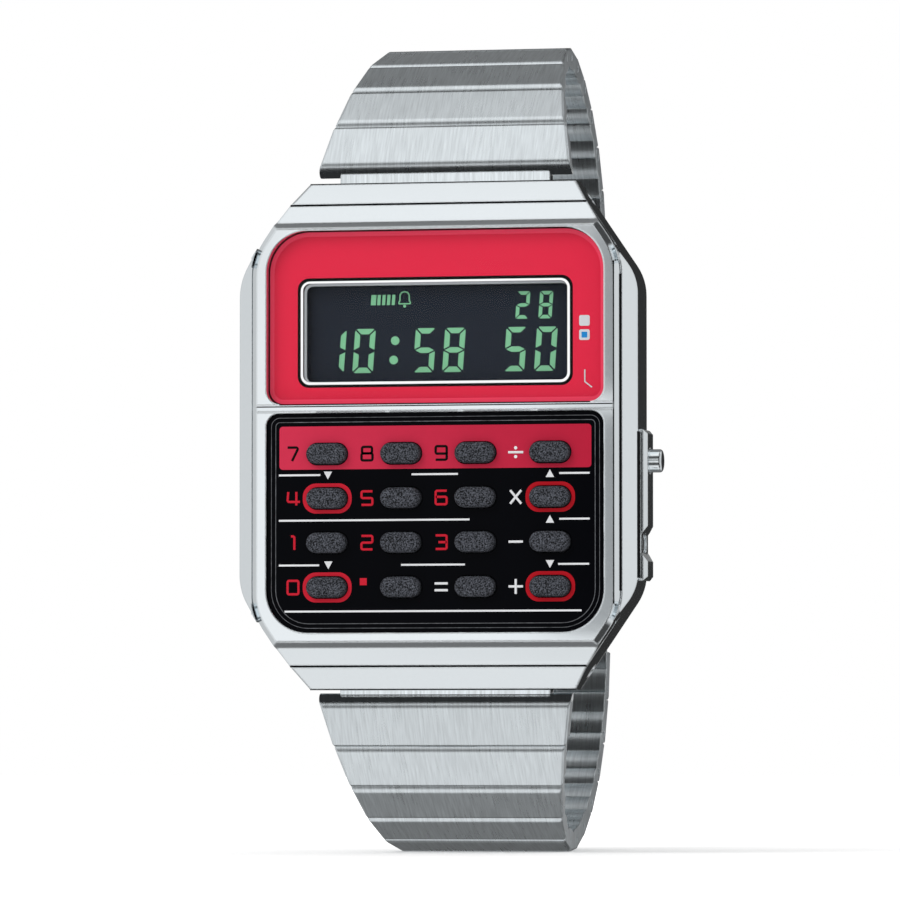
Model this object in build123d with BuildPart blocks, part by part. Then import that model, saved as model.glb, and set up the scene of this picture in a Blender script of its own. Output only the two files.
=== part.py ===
from build123d import *
import math
import os

# A steel calculator watch on its closed bracelet.
# X points to 3 o'clock, Z to 12 o'clock, and the dial faces -Y.
# The origin is the centre of the case back's flat face. A depth is measured
# from the bezel's flat front towards the wrist.

# Case
CASE_HEIGHT = 43.0
CASE_WIDTH = 34.4
CASE_THICK = 8.2
CORNER_CUT_WIDTH = 5.7
CASE_END_WIDTH = CASE_WIDTH - CORNER_CUT_WIDTH * 2
CASE_CORNER_RADIUS = 4.5
CORNER_SLOPE_SHARE = 0.68
CORNER_STRETCH_SHARE = math.sqrt(1 + CORNER_SLOPE_SHARE ** 2)
CASE_SIDE = CASE_WIDTH / 2
CASE_END = CASE_HEIGHT / 2
SIDE_END = CASE_END - CORNER_CUT_WIDTH / CORNER_SLOPE_SHARE
SHOULDER_TOP_DEPTH = 0.45
SHOULDER_LOW_DEPTH = 1.4
END_FACET_DEPTH = 3.4
WALL_FOOT_DEPTH = 5.5
CASE_FOOT_ANGLE = 30.0
BACK_THICK = 1.3
BACK_SEAT_DEPTH = CASE_THICK - BACK_THICK
BREAK_ANGLE = 45.0
OVERRUN = 1.0

# Lugs and spring bars
LUG_WIDTH = 2.4
TONGUE_WIDTH = CASE_END_WIDTH - LUG_WIDTH * 2
TONGUE_THICK = 1.4
TONGUE_FIT = 0.15
RECESS_WIDTH = TONGUE_WIDTH + TONGUE_FIT * 2
RECESS_LENGTH = 3.1
RECESS_START = CASE_END - RECESS_LENGTH
RECESS_DEPTH = 3.65
BARREL_RADIUS = 1.1
BARREL_FIT = 0.05
BARREL_GAP = 0.4
SPRING_BAR_Z = RECESS_START + BARREL_RADIUS + BARREL_GAP
SPRING_BAR_DEPTH = 5.0
SPRING_BAR_RADIUS = 0.7
SPRING_BAR_SUNK = 0.1
SPRING_BAR_LENGTH = TONGUE_WIDTH - SPRING_BAR_SUNK * 2
SPRING_TIP_RADIUS = 0.4
SPRING_TIP_LENGTH = 2.75
SPRING_TIP_REACH = RECESS_WIDTH / 2 + SPRING_TIP_LENGTH
SPRING_HOLE_FIT = 0.05

# Cavity of the module
CAVITY_SIDE_WALL = 2.1
CAVITY_END_WALL = 1.5
CAVITY_WIDTH = CASE_WIDTH - CAVITY_SIDE_WALL * 2
CAVITY_HEIGHT = (RECESS_START - CAVITY_END_WALL) * 2
CAVITY_CORNER_WALL = 3.2
CAVITY_CORNER_RADIUS = 0.8

# Bezel
BEZEL_SIDE_MARGIN = 1.35
BEZEL_END_MARGIN = 1.95
BEZEL_WIDTH = CASE_WIDTH - BEZEL_SIDE_MARGIN * 2
BEZEL_HEIGHT = CASE_HEIGHT - BEZEL_END_MARGIN * 2
BEZEL_THICK = 1.6
BEZEL_CHAMFER = 0.45
BEZEL_CORNER_RADIUS = 5.5
BEZEL_FIT = 0.06
FLAT_END_MARGIN = 2.05
CREASE_END_MARGIN = 1.5
FLAT_HEIGHT = BEZEL_HEIGHT - FLAT_END_MARGIN * 2
CREASE_HEIGHT = BEZEL_HEIGHT - CREASE_END_MARGIN * 2
CREASE_DEPTH = 0.8
BEZEL_EDGE_DEPTH = 1.5
LEDGE_WIDTH = 0.5
LEDGE_THICK = 0.35

# Windows of the bezel, one above and one below its bar
WINDOW_SIDE_RIM = 1.3
DISPLAY_END_RIM = 0.2
KEYPAD_END_RIM = 0.75
BAR_WIDTH = 0.75
BAR_STEP = 0.1
BAR_RISE = 0.12
WINDOW_WIDTH = BEZEL_WIDTH - WINDOW_SIDE_RIM * 2
DISPLAY_LOW = 2.6
DISPLAY_HIGH = FLAT_HEIGHT / 2 - DISPLAY_END_RIM
DISPLAY_LOW_RADIUS = 1.25
DISPLAY_HIGH_RADIUS = 3.5
KEYPAD_LOW = KEYPAD_END_RIM - FLAT_HEIGHT / 2
KEYPAD_HIGH = DISPLAY_LOW - BAR_WIDTH
KEYPAD_LOW_RADIUS = 3.6
KEYPAD_HIGH_RADIUS = 1.15
WINDOW_FIT = 0.04

# Crystal, its printed mask, the display frame and the display
CRYSTAL_SUNK = 0.08
CRYSTAL_BEVEL = 0.45
CRYSTAL_BEVEL_DEPTH = 0.2
MASK_THICK = 0.15
MASK_SIDE = 2.72
MASK_FOOT = 1.36
MASK_HEAD = 4.1
MASK_OPENING_WIDTH = WINDOW_WIDTH - MASK_SIDE * 2
MASK_OPENING_LOW = DISPLAY_LOW + MASK_FOOT
MASK_OPENING_HIGH = DISPLAY_HIGH - MASK_HEAD
MASK_OPENING_RADIUS = 0.9
FRAME_SIDE_GAP = 0.23
FRAME_END_GAP = 0.26
FRAME_WIDTH = MASK_OPENING_WIDTH - FRAME_SIDE_GAP * 2
FRAME_LOW = MASK_OPENING_LOW + FRAME_END_GAP
FRAME_HIGH = MASK_OPENING_HIGH - FRAME_END_GAP
FRAME_RADIUS = 0.85
FRAME_FACE = 0.3
FRAME_SLOPE_WIDTH = 0.15
FRAME_GAP = 0.05
LCD_DEPTH = 2.3
LCD_SIDE_MARGIN = 0.7
LCD_FOOT_MARGIN = 1.22
LCD_HEAD_MARGIN = 0.56
LCD_WIDTH = FRAME_WIDTH + LCD_SIDE_MARGIN * 2
LCD_LOW = FRAME_LOW - LCD_FOOT_MARGIN
LCD_HIGH = FRAME_HIGH + LCD_HEAD_MARGIN
LCD_THICK = 1.4
LCD_STEP = 0.7

# Key plate, keys and keypad mat
KEY_NAMES = (("7", "8", "9", "divide"), ("4", "5", "6", "multiply"),
             ("1", "2", "3", "minus"), ("0", "point", "equals", "plus"))
KEY_PLATE_SUNK = 0.3
KEY_LEFT_MARGIN = 5.25
KEY_RIGHT_MARGIN = 4.62
KEY_HEAD_MARGIN = 3.47
KEY_FOOT_MARGIN = 3.85
KEY_FIRST_X = KEY_LEFT_MARGIN - WINDOW_WIDTH / 2
KEY_PITCH_X = (WINDOW_WIDTH - KEY_LEFT_MARGIN - KEY_RIGHT_MARGIN) / (len(KEY_NAMES[0]) - 1)
KEY_FIRST_Z = KEYPAD_HIGH - KEY_HEAD_MARGIN
KEY_PITCH_Z = (KEYPAD_HIGH - KEYPAD_LOW - KEY_HEAD_MARGIN - KEY_FOOT_MARGIN) / (len(KEY_NAMES) - 1)
KEY_LENGTH = 3.45
KEY_HEIGHT = 1.73
KEY_RISE = 0.8
KEY_ROUNDING = 0.35
KEY_FIT = 0.1
KEY_FLANGE = 0.3
KEY_FLANGE_THICK = 0.35
KEY_FLANGE_GAP = 0.05
KEY_TRAVEL = 0.5
MAT_GAP = 0.15
MAT_THICK = 0.8
MAT_DOME_ANGLE = 15.0

# Module: frame, circuit board and battery
MODULE_TOP_DEPTH = 1.9
MODULE_BACK_GAP = 0.3
MODULE_LOW_DEPTH = BACK_SEAT_DEPTH - MODULE_BACK_GAP
MODULE_FIT = 0.2
MODULE_WALL = 0.8
MODULE_FLOOR = 0.4
POCKET_FIT = 0.05
KEYPAD_POCKET_HIGH = KEYPAD_HIGH + POCKET_FIT
BOARD_THICK = 0.6
CHIP_SIZE = 5.0
CHIP_THICK = 0.6
CHIP_Z = 9.0
BATTERY_DIAMETER = 16.0
BATTERY_THICK = 1.6
BATTERY_Z = -4.5
BATTERY_RIM = 0.3

# Gasket, case back and its screws
GASKET_WIDTH = 0.55
GASKET_THICK = 0.45
GASKET_FIT = 0.03
BACK_SIDE_MARGIN = 1.3
BACK_END_MARGIN = 0.2
BACK_WIDTH = CASE_WIDTH - BACK_SIDE_MARGIN * 2
BACK_HEIGHT = (RECESS_START - BACK_END_MARGIN) * 2
BACK_CORNER_INSET = 1.2
BACK_CORNER_RADIUS = 2.0
BACK_CHAMFER = 0.6
SCREW_SIDE_MARGIN = 2.7
SCREW_END_MARGIN = 0.4
BACK_SCREW_X = CAVITY_WIDTH / 2 - SCREW_SIDE_MARGIN
BACK_SCREW_Z = CAVITY_HEIGHT / 2 - SCREW_END_MARGIN
SCREW_HEAD_RADIUS = 0.75
SCREW_HEAD_THICK = 0.5
SCREW_RADIUS = 0.4
SCREW_LENGTH = 2.5
SCREW_FIT = 0.03
SCREW_SLOT_WIDTH = 0.25
SCREW_SLOT_DEPTH = 0.2
SCREW_SLOT_ANGLE = 30.0

# Button guard and pushers on the 3 o'clock side
PUSHER_DEPTH = 4.0
PUSHER_PITCH = 7.0
ADJUST_END_MARGIN = 3.82
ADJUST_Z = ADJUST_END_MARGIN - SIDE_END
MODE_Z = ADJUST_Z + PUSHER_PITCH
MODE_RADIUS = 0.98
MODE_STEM_RADIUS = 0.6
MODE_REACH = 1.05
MODE_TRAVEL = 0.8
ADJUST_RADIUS = 0.8
ADJUST_STEM_RADIUS = 0.45
ADJUST_SUNK = 0.1
ADJUST_TRAVEL = 0.4
PUSHER_FIT = 0.06
PUSHER_SEAT_DEPTH = 1.6
PUSHER_ROUNDING = 0.25
CLIP_RADIUS = 1.0
CLIP_THICK = 0.3
CLIP_GAP = 0.05
STEM_END = 0.25
NOTCH_HALF = 1.5
NOTCH_DEPTH = 1.8
GUARD_HEAD_MARGIN = 2.6
GUARD_FOOT_MARGIN = 3.1
GUARD_HIGH = MODE_Z + GUARD_HEAD_MARGIN
GUARD_LOW = ADJUST_Z - GUARD_FOOT_MARGIN
GUARD_FRONT_DEPTH = 2.3
GUARD_BACK_DEPTH = 5.5
GUARD_RISE = 0.6
GUARD_CHAMFER = 0.35
DIP_HALF = 1.5
DIP_LOW = ADJUST_Z - DIP_HALF
DIP_HIGH = ADJUST_Z + DIP_HALF
DIP_SLOPE_WIDTH = 0.75
DIP_DEPTH = 0.5

# Bracelet links
LINK_PITCH = 4.2
LINK_THICK = 1.8
LINK_HALF = LINK_THICK / 2
LINK_GAP = 0.12
LINK_TIP_SHORT = 0.15
BRACELET_SIDE_STEP = 0.55
BRACELET_START_WIDTH = CASE_END_WIDTH - BRACELET_SIDE_STEP * 2
BRACELET_END_WIDTH = 14.0
TAPERING_LINKS = 8
LINK_EDGE_CHAMFER = 0.15
LINK_INNER_GROOVE = 0.3
LINK_PIN_RADIUS = 0.3
LINK_PIN_FIT = 0.01
LINK_PIN_RUNNING = 0.03
LINK_PIN_SUNK = 0.1
KNUCKLE_RADIUS = 0.6
KNUCKLE_WIDTH = 4.8
KNUCKLE_GAP = 0.1
WEB_THICK = 0.7
LIP_SKIN = 0.4
UPPER_LINKS = 11
UPPER_START_GAP = 0.6
UPPER_START_Z = CASE_END + UPPER_START_GAP + LINK_HALF
UPPER_FIRST_ANGLE = 31.0
UPPER_TURN_ANGLE = 13.3
LOWER_LINKS = 12
LOWER_START_GAP = 0.3
LOWER_START_Z = CASE_END + LOWER_START_GAP + LINK_HALF
LOWER_FIRST_ANGLE = 28.0
LOWER_TURN_ANGLE = 12.9

# Clasp
CLASP_SIDE_STEP = 0.4
CLASP_WIDTH = BRACELET_END_WIDTH - CLASP_SIDE_STEP * 2
CLASP_LENGTH = 27.0
CLASP_BASE_THICK = 0.6
CLASP_WALL = 0.6
CLASP_WALL_TOP = 0.65
CLASP_BUTT_GAP = 0.3
PLATE_GAP = 0.1
PLATE_THICK = 0.6
PLATE_HINGE_LIFT = 1.0
PLATE_BARREL_RADIUS = 0.42
PLATE_BARREL_LENGTH = 5.6
PLATE_CLEARANCE = 0.22
PLATE_PIN_RADIUS = 0.2
PLATE_PIN_RUNNING = 0.03
EAR_WIDTH = 1.1
EAR_GAP = 0.1
COVER_HINGE = 3.4
COVER_LENGTH = 16.2
COVER_SKIRT = 0.5
COVER_SKIRT_DROP = 1.1
COVER_SKIRT_START = 1.0
LEVER_GAP = 0.9
LEVER_END_MARGIN = 0.3
LEVER_HINGE = COVER_HINGE + COVER_LENGTH + LEVER_GAP
LEVER_LENGTH = CLASP_LENGTH - LEVER_END_MARGIN - LEVER_HINGE
LEVER_LIFT_NOTCH = 2.4


def front_plane(depth):
    """A sketch plane at a depth, seen from the dial's side."""
    return Plane(origin=(0, depth - CASE_THICK, 0), x_dir=(1, 0, 0), z_dir=(0, -1, 0))


def back_plane(depth):
    """A sketch plane at a depth, seen from the wrist's side."""
    return Plane(origin=(0, depth - CASE_THICK, 0), x_dir=(1, 0, 0), z_dir=(0, 1, 0))


def side_plane(x):
    """A sketch plane across X, whose sketch runs along Y and Z."""
    return Plane(origin=(x, 0, 0), x_dir=(0, 1, 0), z_dir=(1, 0, 0))


def octagon(plane, width, height, corner_inset, side_radius, end_radius):
    """The case's eight-sided outline, with its corner faces set in from the case's."""
    reach = CASE_END_WIDTH / 2 + CORNER_SLOPE_SHARE * CASE_END - corner_inset * CORNER_STRETCH_SHARE
    side, end = width / 2, height / 2
    end_x, side_z = reach - CORNER_SLOPE_SHARE * end, (reach - side) / CORNER_SLOPE_SHARE
    quarter = [(end_x, end), (side, side_z)]
    right = quarter + [(x, -z) for x, z in reversed(quarter)]
    with BuildSketch(plane) as outline:
        with BuildLine():
            Polyline(right + [(-x, z) for x, z in reversed(right)], close=True)
        make_face()
        rows = outline.vertices().group_by(Axis.Y)
        fillet(rows[1] + rows[2], side_radius)
        if end_radius > 0:
            rows = outline.vertices().group_by(Axis.Y)
            fillet(rows[0] + rows[-1], end_radius)
    return outline.sketch


def window(plane, width, low, high, low_radius, high_radius, grow=0.0):
    """A rounded window with one radius for its low corners and one for its high ones."""
    with BuildSketch(plane) as outline:
        with Locations((0, (low + high) / 2)):
            Rectangle(width + grow * 2, high - low + grow * 2)
        fillet(outline.vertices().group_by(Axis.Y)[0], low_radius + grow)
        fillet(outline.vertices().group_by(Axis.Y)[-1], high_radius + grow)
    return outline.sketch


def keypad_area(plane, width, fit):
    """The lower share of the module's pocket, which holds the keypad."""
    with BuildSketch(plane) as area:
        add(octagon(Plane.XY, width, module_height - MODULE_WALL * 2 - fit * 2, pocket_inset + fit,
                    CAVITY_CORNER_RADIUS, CAVITY_CORNER_RADIUS))
        with Locations((0, KEYPAD_POCKET_HIGH - fit + CASE_END / 2)):
            Rectangle(CASE_WIDTH, CASE_END, mode=Mode.SUBTRACT)
    return area.sketch


def end_cut(start_z, start_depth, points):
    """The sketch of what a sloping end face takes off, for both ends of the case."""
    front = -CASE_THICK - OVERRUN
    with BuildSketch(side_plane(0)) as cut:
        for side in (1, -1):
            profile = [(start_depth - CASE_THICK, start_z * side)]
            profile += [(depth - CASE_THICK, z * side) for z, depth in points]
            profile += [(front, points[-1][0] * side), (front, start_z * side)]
            with BuildLine():
                Polyline(profile, close=True)
            make_face()
    return cut.sketch


def save(builder, name):
    """Label a finished piece and write it."""
    builder.part.label = name
    export_step(builder.part, f"parts/{name}.step")


# Case body: the octagonal middle case, with its shoulders, lugs and button guard
with BuildPart() as case_body:
    extrude(octagon(front_plane(WALL_FOOT_DEPTH), CASE_WIDTH, CASE_HEIGHT, 0, CASE_CORNER_RADIUS, 0),
            amount=WALL_FOOT_DEPTH)
    extrude(octagon(back_plane(WALL_FOOT_DEPTH), CASE_WIDTH, CASE_HEIGHT, 0, CASE_CORNER_RADIUS, 0),
            amount=BACK_SEAT_DEPTH - WALL_FOOT_DEPTH, taper=CASE_FOOT_ANGLE)
    # Sloping ends beyond the bezel
    facet_end = CASE_END + OVERRUN
    facet_slope = (END_FACET_DEPTH - BEZEL_EDGE_DEPTH) / (CASE_END - BEZEL_HEIGHT / 2)
    facet_low = END_FACET_DEPTH + facet_slope * OVERRUN
    extrude(end_cut(BEZEL_HEIGHT / 2, BEZEL_EDGE_DEPTH, [(facet_end, facet_low)]),
            amount=CASE_WIDTH, both=True, mode=Mode.SUBTRACT)
    # Inclined shoulders along the two long sides
    shoulder_in = BEZEL_WIDTH / 2
    shoulder_slope = (SHOULDER_LOW_DEPTH - SHOULDER_TOP_DEPTH) / (CASE_SIDE - shoulder_in)
    shoulder_far = CASE_SIDE + OVERRUN
    shoulder_far_depth = SHOULDER_LOW_DEPTH + shoulder_slope * OVERRUN
    with BuildSketch(Plane.XY) as shoulders:
        for side in (1, -1):
            with BuildLine():
                Polyline([(shoulder_in * side, SHOULDER_TOP_DEPTH - CASE_THICK),
                          (shoulder_far * side, shoulder_far_depth - CASE_THICK),
                          (shoulder_far * side, -CASE_THICK - OVERRUN),
                          (shoulder_in * side, -CASE_THICK - OVERRUN)], close=True)
            make_face()
    extrude(amount=CASE_HEIGHT, both=True, mode=Mode.SUBTRACT)
    # Seat of the bezel, and the cavity of the module
    extrude(octagon(front_plane(BEZEL_THICK), BEZEL_WIDTH + BEZEL_FIT * 2, BEZEL_HEIGHT + BEZEL_FIT * 2,
                    -BEZEL_FIT, BEZEL_CORNER_RADIUS + BEZEL_FIT, 0), amount=BEZEL_THICK + OVERRUN,
            mode=Mode.SUBTRACT)
    extrude(octagon(front_plane(BACK_SEAT_DEPTH + OVERRUN), CAVITY_WIDTH, CAVITY_HEIGHT, CAVITY_CORNER_WALL,
                    CAVITY_CORNER_RADIUS, CAVITY_CORNER_RADIUS), amount=CASE_THICK, mode=Mode.SUBTRACT)
    # Guard round the two pushers, with a dip at the recessed one
    with BuildSketch(side_plane(CASE_SIDE - OVERRUN)):
        guard_y = (GUARD_FRONT_DEPTH + GUARD_BACK_DEPTH) / 2 - CASE_THICK
        with Locations((guard_y, (GUARD_LOW + GUARD_HIGH) / 2)):
            Rectangle(GUARD_BACK_DEPTH - GUARD_FRONT_DEPTH, GUARD_HIGH - GUARD_LOW)
    extrude(amount=OVERRUN + GUARD_RISE)
    chamfer(case_body.faces().sort_by(Axis.X)[-1].edges(), GUARD_CHAMFER)
    with BuildSketch(Plane.XZ):
        with BuildLine():
            Polyline([(CASE_SIDE + OVERRUN, DIP_HIGH), (CASE_SIDE + GUARD_RISE, DIP_HIGH),
                      (CASE_SIDE + GUARD_RISE - DIP_DEPTH, DIP_HIGH - DIP_SLOPE_WIDTH),
                      (CASE_SIDE + GUARD_RISE - DIP_DEPTH, DIP_LOW + DIP_SLOPE_WIDTH),
                      (CASE_SIDE + GUARD_RISE, DIP_LOW), (CASE_SIDE + OVERRUN, DIP_LOW)], close=True)
        make_face()
    extrude(amount=CASE_THICK, both=True, mode=Mode.SUBTRACT)
    # Bores of the two pushers: a wide seat for the head and a narrow bore for the stem
    pusher_y = PUSHER_DEPTH - CASE_THICK
    for z, head_radius, stem_radius in ((MODE_Z, MODE_RADIUS, MODE_STEM_RADIUS),
                                        (ADJUST_Z, ADJUST_RADIUS, ADJUST_STEM_RADIUS)):
        with BuildSketch(side_plane(CASE_SIDE + GUARD_RISE + OVERRUN)):
            with Locations((pusher_y, z)):
                Circle(head_radius + PUSHER_FIT)
        extrude(amount=-(PUSHER_SEAT_DEPTH + OVERRUN), mode=Mode.SUBTRACT)
        with BuildSketch(side_plane(CASE_SIDE + GUARD_RISE)):
            with Locations((pusher_y, z)):
                Circle(stem_radius + PUSHER_FIT)
        extrude(amount=-(CASE_SIDE + GUARD_RISE - CAVITY_WIDTH / 2 + CLIP_THICK), mode=Mode.SUBTRACT)
    # Lug recesses for the first links, and the bores of the spring bars
    recess_length = CASE_END + OVERRUN - RECESS_START
    with BuildSketch(front_plane(CASE_THICK)):
        with Locations((0, RECESS_START + recess_length / 2), (0, -RECESS_START - recess_length / 2)):
            Rectangle(RECESS_WIDTH, recess_length)
    extrude(amount=CASE_THICK - RECESS_DEPTH, mode=Mode.SUBTRACT)
    with BuildSketch(side_plane(0)):
        with Locations((SPRING_BAR_DEPTH - CASE_THICK, SPRING_BAR_Z),
                       (SPRING_BAR_DEPTH - CASE_THICK, -SPRING_BAR_Z)):
            Circle(SPRING_TIP_RADIUS + SPRING_HOLE_FIT)
    extrude(amount=CASE_SIDE, both=True, mode=Mode.SUBTRACT)
    # Rebate of the gasket and the four screw holes in the back
    rebate_radius = CAVITY_CORNER_RADIUS + GASKET_WIDTH
    extrude(octagon(front_plane(BACK_SEAT_DEPTH), CAVITY_WIDTH + GASKET_WIDTH * 2,
                    CAVITY_HEIGHT + GASKET_WIDTH * 2, CAVITY_CORNER_WALL - GASKET_WIDTH, rebate_radius,
                    rebate_radius), amount=GASKET_THICK, mode=Mode.SUBTRACT)
    with BuildSketch(front_plane(BACK_SEAT_DEPTH)):
        with GridLocations(BACK_SCREW_X * 2, BACK_SCREW_Z * 2, 2, 2):
            Circle(SCREW_RADIUS + SCREW_FIT)
    extrude(amount=SCREW_LENGTH - (CASE_THICK - SCREW_HEAD_THICK - BACK_SEAT_DEPTH) + SCREW_FIT,
            mode=Mode.SUBTRACT)
save(case_body, "case_body")

# Bezel: the polished front frame, with stepped ends and a bar between its two windows
with BuildPart() as bezel:
    extrude(octagon(front_plane(BEZEL_THICK), BEZEL_WIDTH, BEZEL_HEIGHT, 0, BEZEL_CORNER_RADIUS, 0),
            amount=BEZEL_THICK - BEZEL_CHAMFER)
    extrude(octagon(front_plane(BEZEL_CHAMFER), BEZEL_WIDTH, BEZEL_HEIGHT, 0, BEZEL_CORNER_RADIUS, 0),
            amount=BEZEL_CHAMFER, taper=BREAK_ANGLE)
    extrude(end_cut(FLAT_HEIGHT / 2, 0, [(CREASE_HEIGHT / 2, CREASE_DEPTH),
                                         (BEZEL_HEIGHT / 2, BEZEL_EDGE_DEPTH),
                                         (BEZEL_HEIGHT / 2 + OVERRUN, BEZEL_EDGE_DEPTH)]),
            amount=CASE_WIDTH, both=True, mode=Mode.SUBTRACT)
    for low, high, low_radius, high_radius in (
            (DISPLAY_LOW, DISPLAY_HIGH, DISPLAY_LOW_RADIUS, DISPLAY_HIGH_RADIUS),
            (KEYPAD_LOW, KEYPAD_HIGH, KEYPAD_LOW_RADIUS, KEYPAD_HIGH_RADIUS)):
        extrude(window(front_plane(BEZEL_THICK - LEDGE_THICK), WINDOW_WIDTH, low, high, low_radius,
                       high_radius), amount=BEZEL_THICK, mode=Mode.SUBTRACT)
        extrude(window(front_plane(BEZEL_THICK), WINDOW_WIDTH, low, high, low_radius, high_radius,
                       grow=-LEDGE_WIDTH), amount=BEZEL_THICK, mode=Mode.SUBTRACT)
    # Raised strip along the bar, across the whole front
    with BuildSketch(front_plane(0)):
        with Locations((0, (DISPLAY_LOW + KEYPAD_HIGH) / 2)):
            Rectangle(BEZEL_WIDTH - BEZEL_CHAMFER * 2, BAR_WIDTH - BAR_STEP * 2)
    extrude(amount=BAR_RISE)
save(bezel, "bezel")

# Crystal: mineral glass with a bevelled front edge, seated on the bezel's ledge
crystal_back = BEZEL_THICK - LEDGE_THICK - MASK_THICK
with BuildPart() as crystal:
    extrude(window(front_plane(crystal_back), WINDOW_WIDTH, DISPLAY_LOW, DISPLAY_HIGH, DISPLAY_LOW_RADIUS,
                   DISPLAY_HIGH_RADIUS, grow=-WINDOW_FIT), amount=crystal_back - CRYSTAL_SUNK)
    chamfer(crystal.faces().sort_by(Axis.Y)[0].edges(), length=CRYSTAL_BEVEL_DEPTH, length2=CRYSTAL_BEVEL)
save(crystal, "crystal")

# Display mask: the red coating behind the glass, with the display's opening
with BuildPart() as display_mask:
    extrude(window(front_plane(BEZEL_THICK - LEDGE_THICK), WINDOW_WIDTH, DISPLAY_LOW, DISPLAY_HIGH,
                   DISPLAY_LOW_RADIUS, DISPLAY_HIGH_RADIUS, grow=-WINDOW_FIT), amount=MASK_THICK)
    extrude(window(front_plane(BEZEL_THICK - LEDGE_THICK), MASK_OPENING_WIDTH, MASK_OPENING_LOW,
                   MASK_OPENING_HIGH, MASK_OPENING_RADIUS, MASK_OPENING_RADIUS), amount=MASK_THICK,
            mode=Mode.SUBTRACT)
save(display_mask, "display_mask")

# Display frame: a thin silver frame whose inner walls slope down to the display
frame_top = BEZEL_THICK - LEDGE_THICK + FRAME_GAP
frame_height = LCD_DEPTH - frame_top
with BuildPart() as display_frame:
    extrude(window(front_plane(LCD_DEPTH), FRAME_WIDTH, FRAME_LOW, FRAME_HIGH, FRAME_RADIUS, FRAME_RADIUS),
            amount=frame_height)
    opening_grow = -FRAME_FACE - FRAME_SLOPE_WIDTH
    slope_angle = math.degrees(math.atan2(FRAME_SLOPE_WIDTH, frame_height))
    extrude(window(front_plane(LCD_DEPTH), FRAME_WIDTH, FRAME_LOW, FRAME_HIGH, FRAME_RADIUS, FRAME_RADIUS,
                   grow=opening_grow), amount=frame_height, taper=-slope_angle, mode=Mode.SUBTRACT)
save(display_frame, "display_frame")

# Display: a front glass on a slightly larger rear glass
with BuildPart() as lcd_panel:
    with BuildSketch(front_plane(LCD_DEPTH + LCD_THICK)):
        with Locations((0, (LCD_LOW + LCD_HIGH) / 2)):
            Rectangle(LCD_WIDTH, LCD_HIGH - LCD_LOW)
    extrude(amount=LCD_THICK / 2)
    with BuildSketch(front_plane(LCD_DEPTH + LCD_THICK / 2)):
        with Locations((0, (LCD_LOW + LCD_HIGH) / 2)):
            Rectangle(LCD_WIDTH, LCD_HIGH - LCD_LOW - LCD_STEP)
    extrude(amount=LCD_THICK / 2)
save(lcd_panel, "lcd_panel")

# Key plate: the black front of the keypad, with a pill shaped hole for each key
key_places = {name: (KEY_FIRST_X + KEY_PITCH_X * column, KEY_FIRST_Z - KEY_PITCH_Z * row)
              for row, names in enumerate(KEY_NAMES) for column, name in enumerate(names)}
plate_back = BEZEL_THICK - LEDGE_THICK
with BuildPart() as key_plate:
    extrude(window(front_plane(plate_back), WINDOW_WIDTH, KEYPAD_LOW, KEYPAD_HIGH, KEYPAD_LOW_RADIUS,
                   KEYPAD_HIGH_RADIUS, grow=-WINDOW_FIT), amount=plate_back - KEY_PLATE_SUNK)
    with BuildSketch(front_plane(plate_back)):
        with Locations(*key_places.values()):
            SlotOverall(KEY_LENGTH + KEY_FIT * 2, KEY_HEIGHT + KEY_FIT * 2)
    extrude(amount=plate_back, mode=Mode.SUBTRACT)
save(key_plate, "key_plate")

# Keys: rubber covered pills, each with a flange that stops it behind the key plate
flange_top = plate_back + KEY_FLANGE_GAP
key_top = KEY_PLATE_SUNK - KEY_RISE
for name, place in key_places.items():
    with BuildPart() as key:
        with BuildSketch(front_plane(flange_top)):
            with Locations(place):
                SlotOverall(KEY_LENGTH, KEY_HEIGHT)
        extrude(amount=flange_top - key_top)
        fillet(key.faces().sort_by(Axis.Y)[0].edges(), KEY_ROUNDING)
        with BuildSketch(front_plane(flange_top + KEY_FLANGE_THICK)):
            with Locations(place):
                SlotOverall(KEY_LENGTH + KEY_FLANGE * 2, KEY_HEIGHT + KEY_FLANGE * 2)
        extrude(amount=KEY_FLANGE_THICK)
    save(key, f"key_{name}")

# Module frame: the black moulded tray that holds the display, the keypad mat and the circuit board
module_width = CAVITY_WIDTH - MODULE_FIT * 2
module_height = CAVITY_HEIGHT - MODULE_FIT * 2
module_inset = CAVITY_CORNER_WALL + MODULE_FIT
pocket_inset = module_inset + MODULE_WALL
board_depth = LCD_DEPTH + LCD_THICK + MODULE_FLOOR
with BuildPart() as module_frame:
    extrude(octagon(front_plane(MODULE_LOW_DEPTH), module_width, module_height, module_inset,
                    CAVITY_CORNER_RADIUS, CAVITY_CORNER_RADIUS), amount=MODULE_LOW_DEPTH - MODULE_TOP_DEPTH)
    with BuildSketch(front_plane(LCD_DEPTH + LCD_THICK)):
        with Locations((0, (LCD_LOW + LCD_HIGH) / 2)):
            Rectangle(LCD_WIDTH + POCKET_FIT * 2, LCD_HIGH - LCD_LOW + POCKET_FIT * 2)
    extrude(amount=LCD_THICK + OVERRUN, mode=Mode.SUBTRACT)
    extrude(keypad_area(front_plane(board_depth), module_width - MODULE_WALL * 2, 0), amount=CASE_THICK,
            mode=Mode.SUBTRACT)
    extrude(octagon(front_plane(MODULE_LOW_DEPTH), module_width - MODULE_WALL * 2,
                    module_height - MODULE_WALL * 2, pocket_inset, CAVITY_CORNER_RADIUS,
                    CAVITY_CORNER_RADIUS), amount=MODULE_LOW_DEPTH - board_depth, mode=Mode.SUBTRACT)
    # Notches for the inner ends of the pushers
    with BuildSketch(side_plane(module_width / 2 + OVERRUN)):
        with Locations((pusher_y, MODE_Z), (pusher_y, ADJUST_Z)):
            Rectangle(NOTCH_HALF * 2, NOTCH_HALF * 2)
    extrude(amount=-(NOTCH_DEPTH + OVERRUN), mode=Mode.SUBTRACT)
save(module_frame, "module_frame")

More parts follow.
